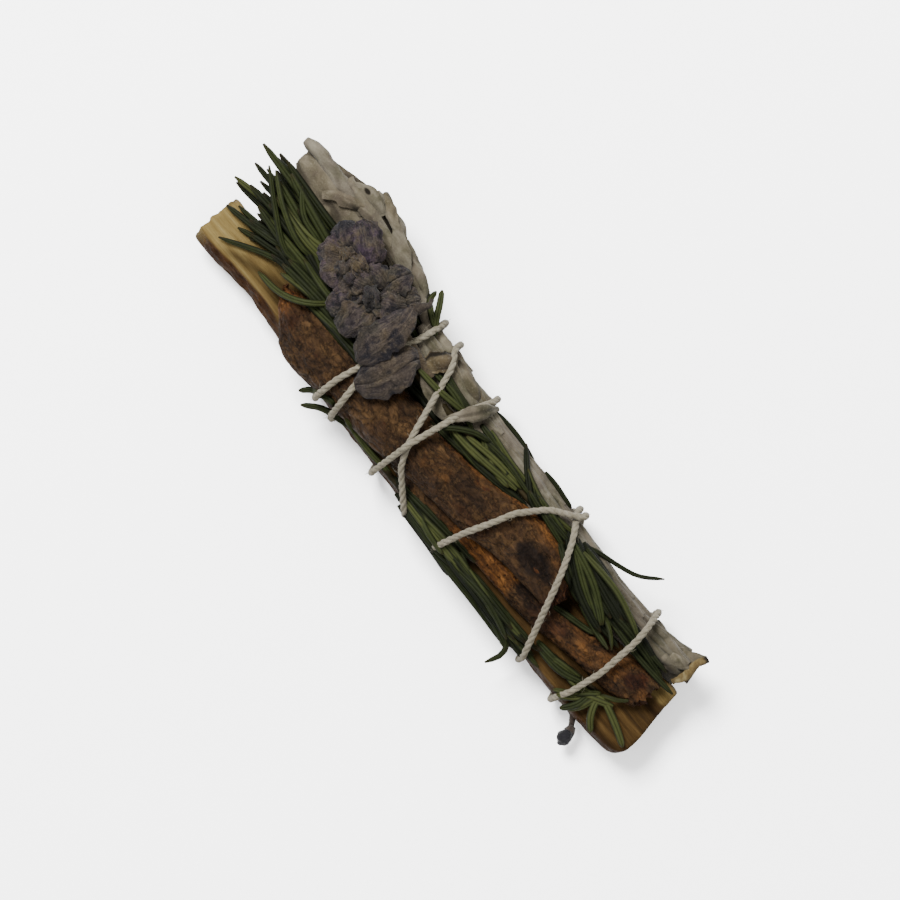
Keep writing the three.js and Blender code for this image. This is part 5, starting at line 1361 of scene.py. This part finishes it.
def cord(pile, line, closed, seed):
    """Three plies twisted round a line, with stray fibres."""
    run = distances(line)
    lays = max(round(run[-1] / LAY), 1)
    phase = 2 * math.pi * lays * run / run[-1]
    tangent = unit(np.gradient(line, axis=0))
    if closed:
        tangent[0] = tangent[-1] = unit(line[1] - line[-2])
    sideways = unit(np.cross(tangent, [0.13, 0.11, 0.98]) + 1e-6)
    # One frame carried along without spinning
    for i in range(1, len(line)):
        carried = sideways[i - 1] - tangent[i] * (sideways[i - 1] @ tangent[i])
        sideways[i] = carried / np.linalg.norm(carried)
    outward = np.cross(tangent, sideways)
    if closed:
        slip = math.atan2(sideways[-1] @ outward[0], sideways[-1] @ sideways[0])
        phase = phase - slip * run / run[-1]
    turn = np.linspace(0, 2 * math.pi, 10, endpoint=False)
    thick = 1 + 0.07 * noise(line, 1.8, seed)
    for ply in range(3):
        a = (phase + 2 * math.pi * ply / 3)[:, None]
        centre = line + PLY_CENTRE * thick[:, None] * (sideways * np.cos(a) + outward * np.sin(a))
        ring = a + turn[None, :]
        r = (PLY_RADIUS * thick[:, None] * (1 + 0.04 * np.sin(3 * ring + 9 * a)))[..., None]
        rings = centre[:, None] + r * (sideways[:, None] * np.cos(ring)[..., None]
                                       + outward[:, None] * np.sin(ring)[..., None])
        # across is 1 on a ply's outer side and 0 on its inner side, where the finish paints shade
        groove = 0.5 + 0.5 * np.cos(turn)[None, :] + 0 * a
        pile.tube(rings, across=groove, along=run[:, None] / run[-1])
    for _ in range(int(run[-1] * HAIRS)):
        i = DICE.integers(2, len(line) - 3)
        a = DICE.uniform(0, 2 * math.pi)
        out = sideways[i] * math.cos(a) + outward[i] * math.sin(a)
        reach = DICE.uniform(0.1, 0.5)
        drift = DICE.uniform(-1.4, 1.4)
        tip = line[i] + out * (0.55 + reach) + tangent[i] * drift
        middle = line[i] + out * (0.55 + 0.7 * reach) + tangent[i] * drift * 0.3
        if min(tip[2], middle[2]) < 0.05:
            continue
        hair = Path([line[i] + out * 0.45, middle, tip + DICE.normal(0, 0.15, 3) * [1, 1, 0.3]])
        round_rod(pile, hair, lambda t: 0.028 * (1 - 0.6 * t), 7, 4, across=1.0)


def twine(supports):
    fronts = {}
    wound = []
    for k in (6, 5, 4, 3, 2, 1, 0):
        fronts[k] = strand(supports, wound, PASSES[k], True)
        wound.append(evened(fronts[k], 0.4))
    loop = []
    for k in range(7):
        start = PASSES[(k + 1) % 7][0]
        back = strand(supports, wound, [start, PASSES[k][-1]], False)[::-1]
        loop += [fronts[k], back[1:-1]]
    line = np.vstack(loop + [loop[0][:1]])
    line = evened(line, 0.3)
    line[:-1] = softened(line[:-1], 3, True)
    line[-1] = line[0]
    line[:, 2] = np.maximum(line[:, 2], LOWEST)
    pile = Pile()
    cord(pile, evened(line, 0.25), True, 1)
    for k, tail in enumerate(TAILS):
        cord(pile, evened(Path(tail).at(np.linspace(0, 1, 60)), 0.25), False, 2 + k)
    for k in range(3):
        t = np.linspace(0, 1, 40)
        middle = Path(KNOT_LUMP).at(0.2 + 0.3 * k)
        turn = 2 * math.pi * t
        ring = middle + np.stack([0.5 * np.sin(turn + k), 0.9 * np.cos(turn), 0.8 * np.sin(turn)], -1)
        ring[:, 2] = np.maximum(ring[:, 2], 0.65)
        cord(pile, evened(ring, 0.25), False, 5 + k)
    pile.make("cotton_twine_wrap", "twine_wrap", twine_finish(), 80)
    return fronts


# Camera, floor and light come first in the making, then the pieces

# The photograph's centre on the bundle, how far the picture is turned, and the camera's height
PHOTO_CENTRE = (-1.02, 2.41)
PHOTO_TURN = math.radians(50.8)
CAMERA_HEIGHT = 558


def camera():
    made = bpy.data.cameras.new("photo_camera")
    made.lens = 148.8
    made.sensor_width = 36
    made.clip_start = 0.01
    holder = bpy.data.objects.new("photo_camera", made)
    holder.location = [(SHIFT[k] + v) / 1000 for k, v in enumerate((*PHOTO_CENTRE, CAMERA_HEIGHT))]
    holder.rotation_euler = (0, 0, PHOTO_TURN)
    bpy.context.scene.collection.objects.link(holder)
    bpy.context.scene.camera = holder


def light(name, place, size, power):
    """A soft square light that looks at the middle of the bundle."""
    made = bpy.data.lights.new(name, "AREA")
    made.size = size
    made.energy = power
    holder = bpy.data.objects.new(name, made)
    holder.location = place
    aim = Vector((0, 0, 0.005))
    holder.rotation_euler = (aim - Vector(place)).to_track_quat("-Z", "Y").to_euler()
    bpy.context.scene.collection.objects.link(holder)


def studio():
    mesh = bpy.data.meshes.new("floor")
    mesh.from_pydata([(-3, -3, 0), (3, -3, 0), (3, 3, 0), (-3, 3, 0)], [], [(0, 1, 2, 3)])
    f = Finish("floor_paint", 0.98, 0.98, 0.98)
    speck = f.noise(6, 2)
    base = f.ramp(speck, (0, 252.7, 252.7, 252.7), (1, 255, 255, 255))
    mesh.materials.append(f.finish(base, 0.9, specular=0.1))
    floor = bpy.data.objects.new("floor", mesh)
    bpy.context.scene.collection.objects.link(floor)
    world = bpy.data.worlds.new("studio")
    world.use_nodes = True
    sky = world.node_tree.nodes["Background"]
    sky.inputs["Color"].default_value = (1, 1, 1, 1)
    sky.inputs["Strength"].default_value = 1.8
    bpy.context.scene.world = world
    # The key light comes from the far side of the picture, a little to its left
    up = (-math.sin(PHOTO_TURN), math.cos(PHOTO_TURN))
    right = (up[1], -up[0])
    key = [0.5 * up[k] - 0.25 * right[k] for k in (0, 1)]
    light("key", (key[0], key[1], 0.75), 0.35, 41)
    fill = [-0.4 * up[k] + 0.5 * right[k] for k in (0, 1)]
    light("fill", (fill[0], fill[1], 0.7), 0.8, 4)


camera()
studio()
stick_grid = stick()
outer_grid, inner_grid = barks()
larkspur()
bud()

# What the twine is wound round: the hard pieces, the roll, and pads for the flowers and sprigs
roll_x = np.linspace(ROLL_HEAD, ROLL_FOOT, 80)[:, None]
roll_turn = np.linspace(0, 2 * math.pi, 49)[None, :]
SUPPORTS = [
    stick_grid, outer_grid, inner_grid,
    on_roll(roll_x + 0 * roll_turn, roll_turn + 0 * roll_x, 0.95),
    pad(-30, -6, 4.6, 9.9, 3.6, 2.4),
    pad(-8, 40, 6.4, 10.6, 2.4, 1.4),
    pad(-16, 30, -6.8, 7.8, 1.2, 1),
    pad(28, 44, -5.5, 8, 1, 0.8),
]
FRONTS = twine(SUPPORTS)
sage()
sprigs()
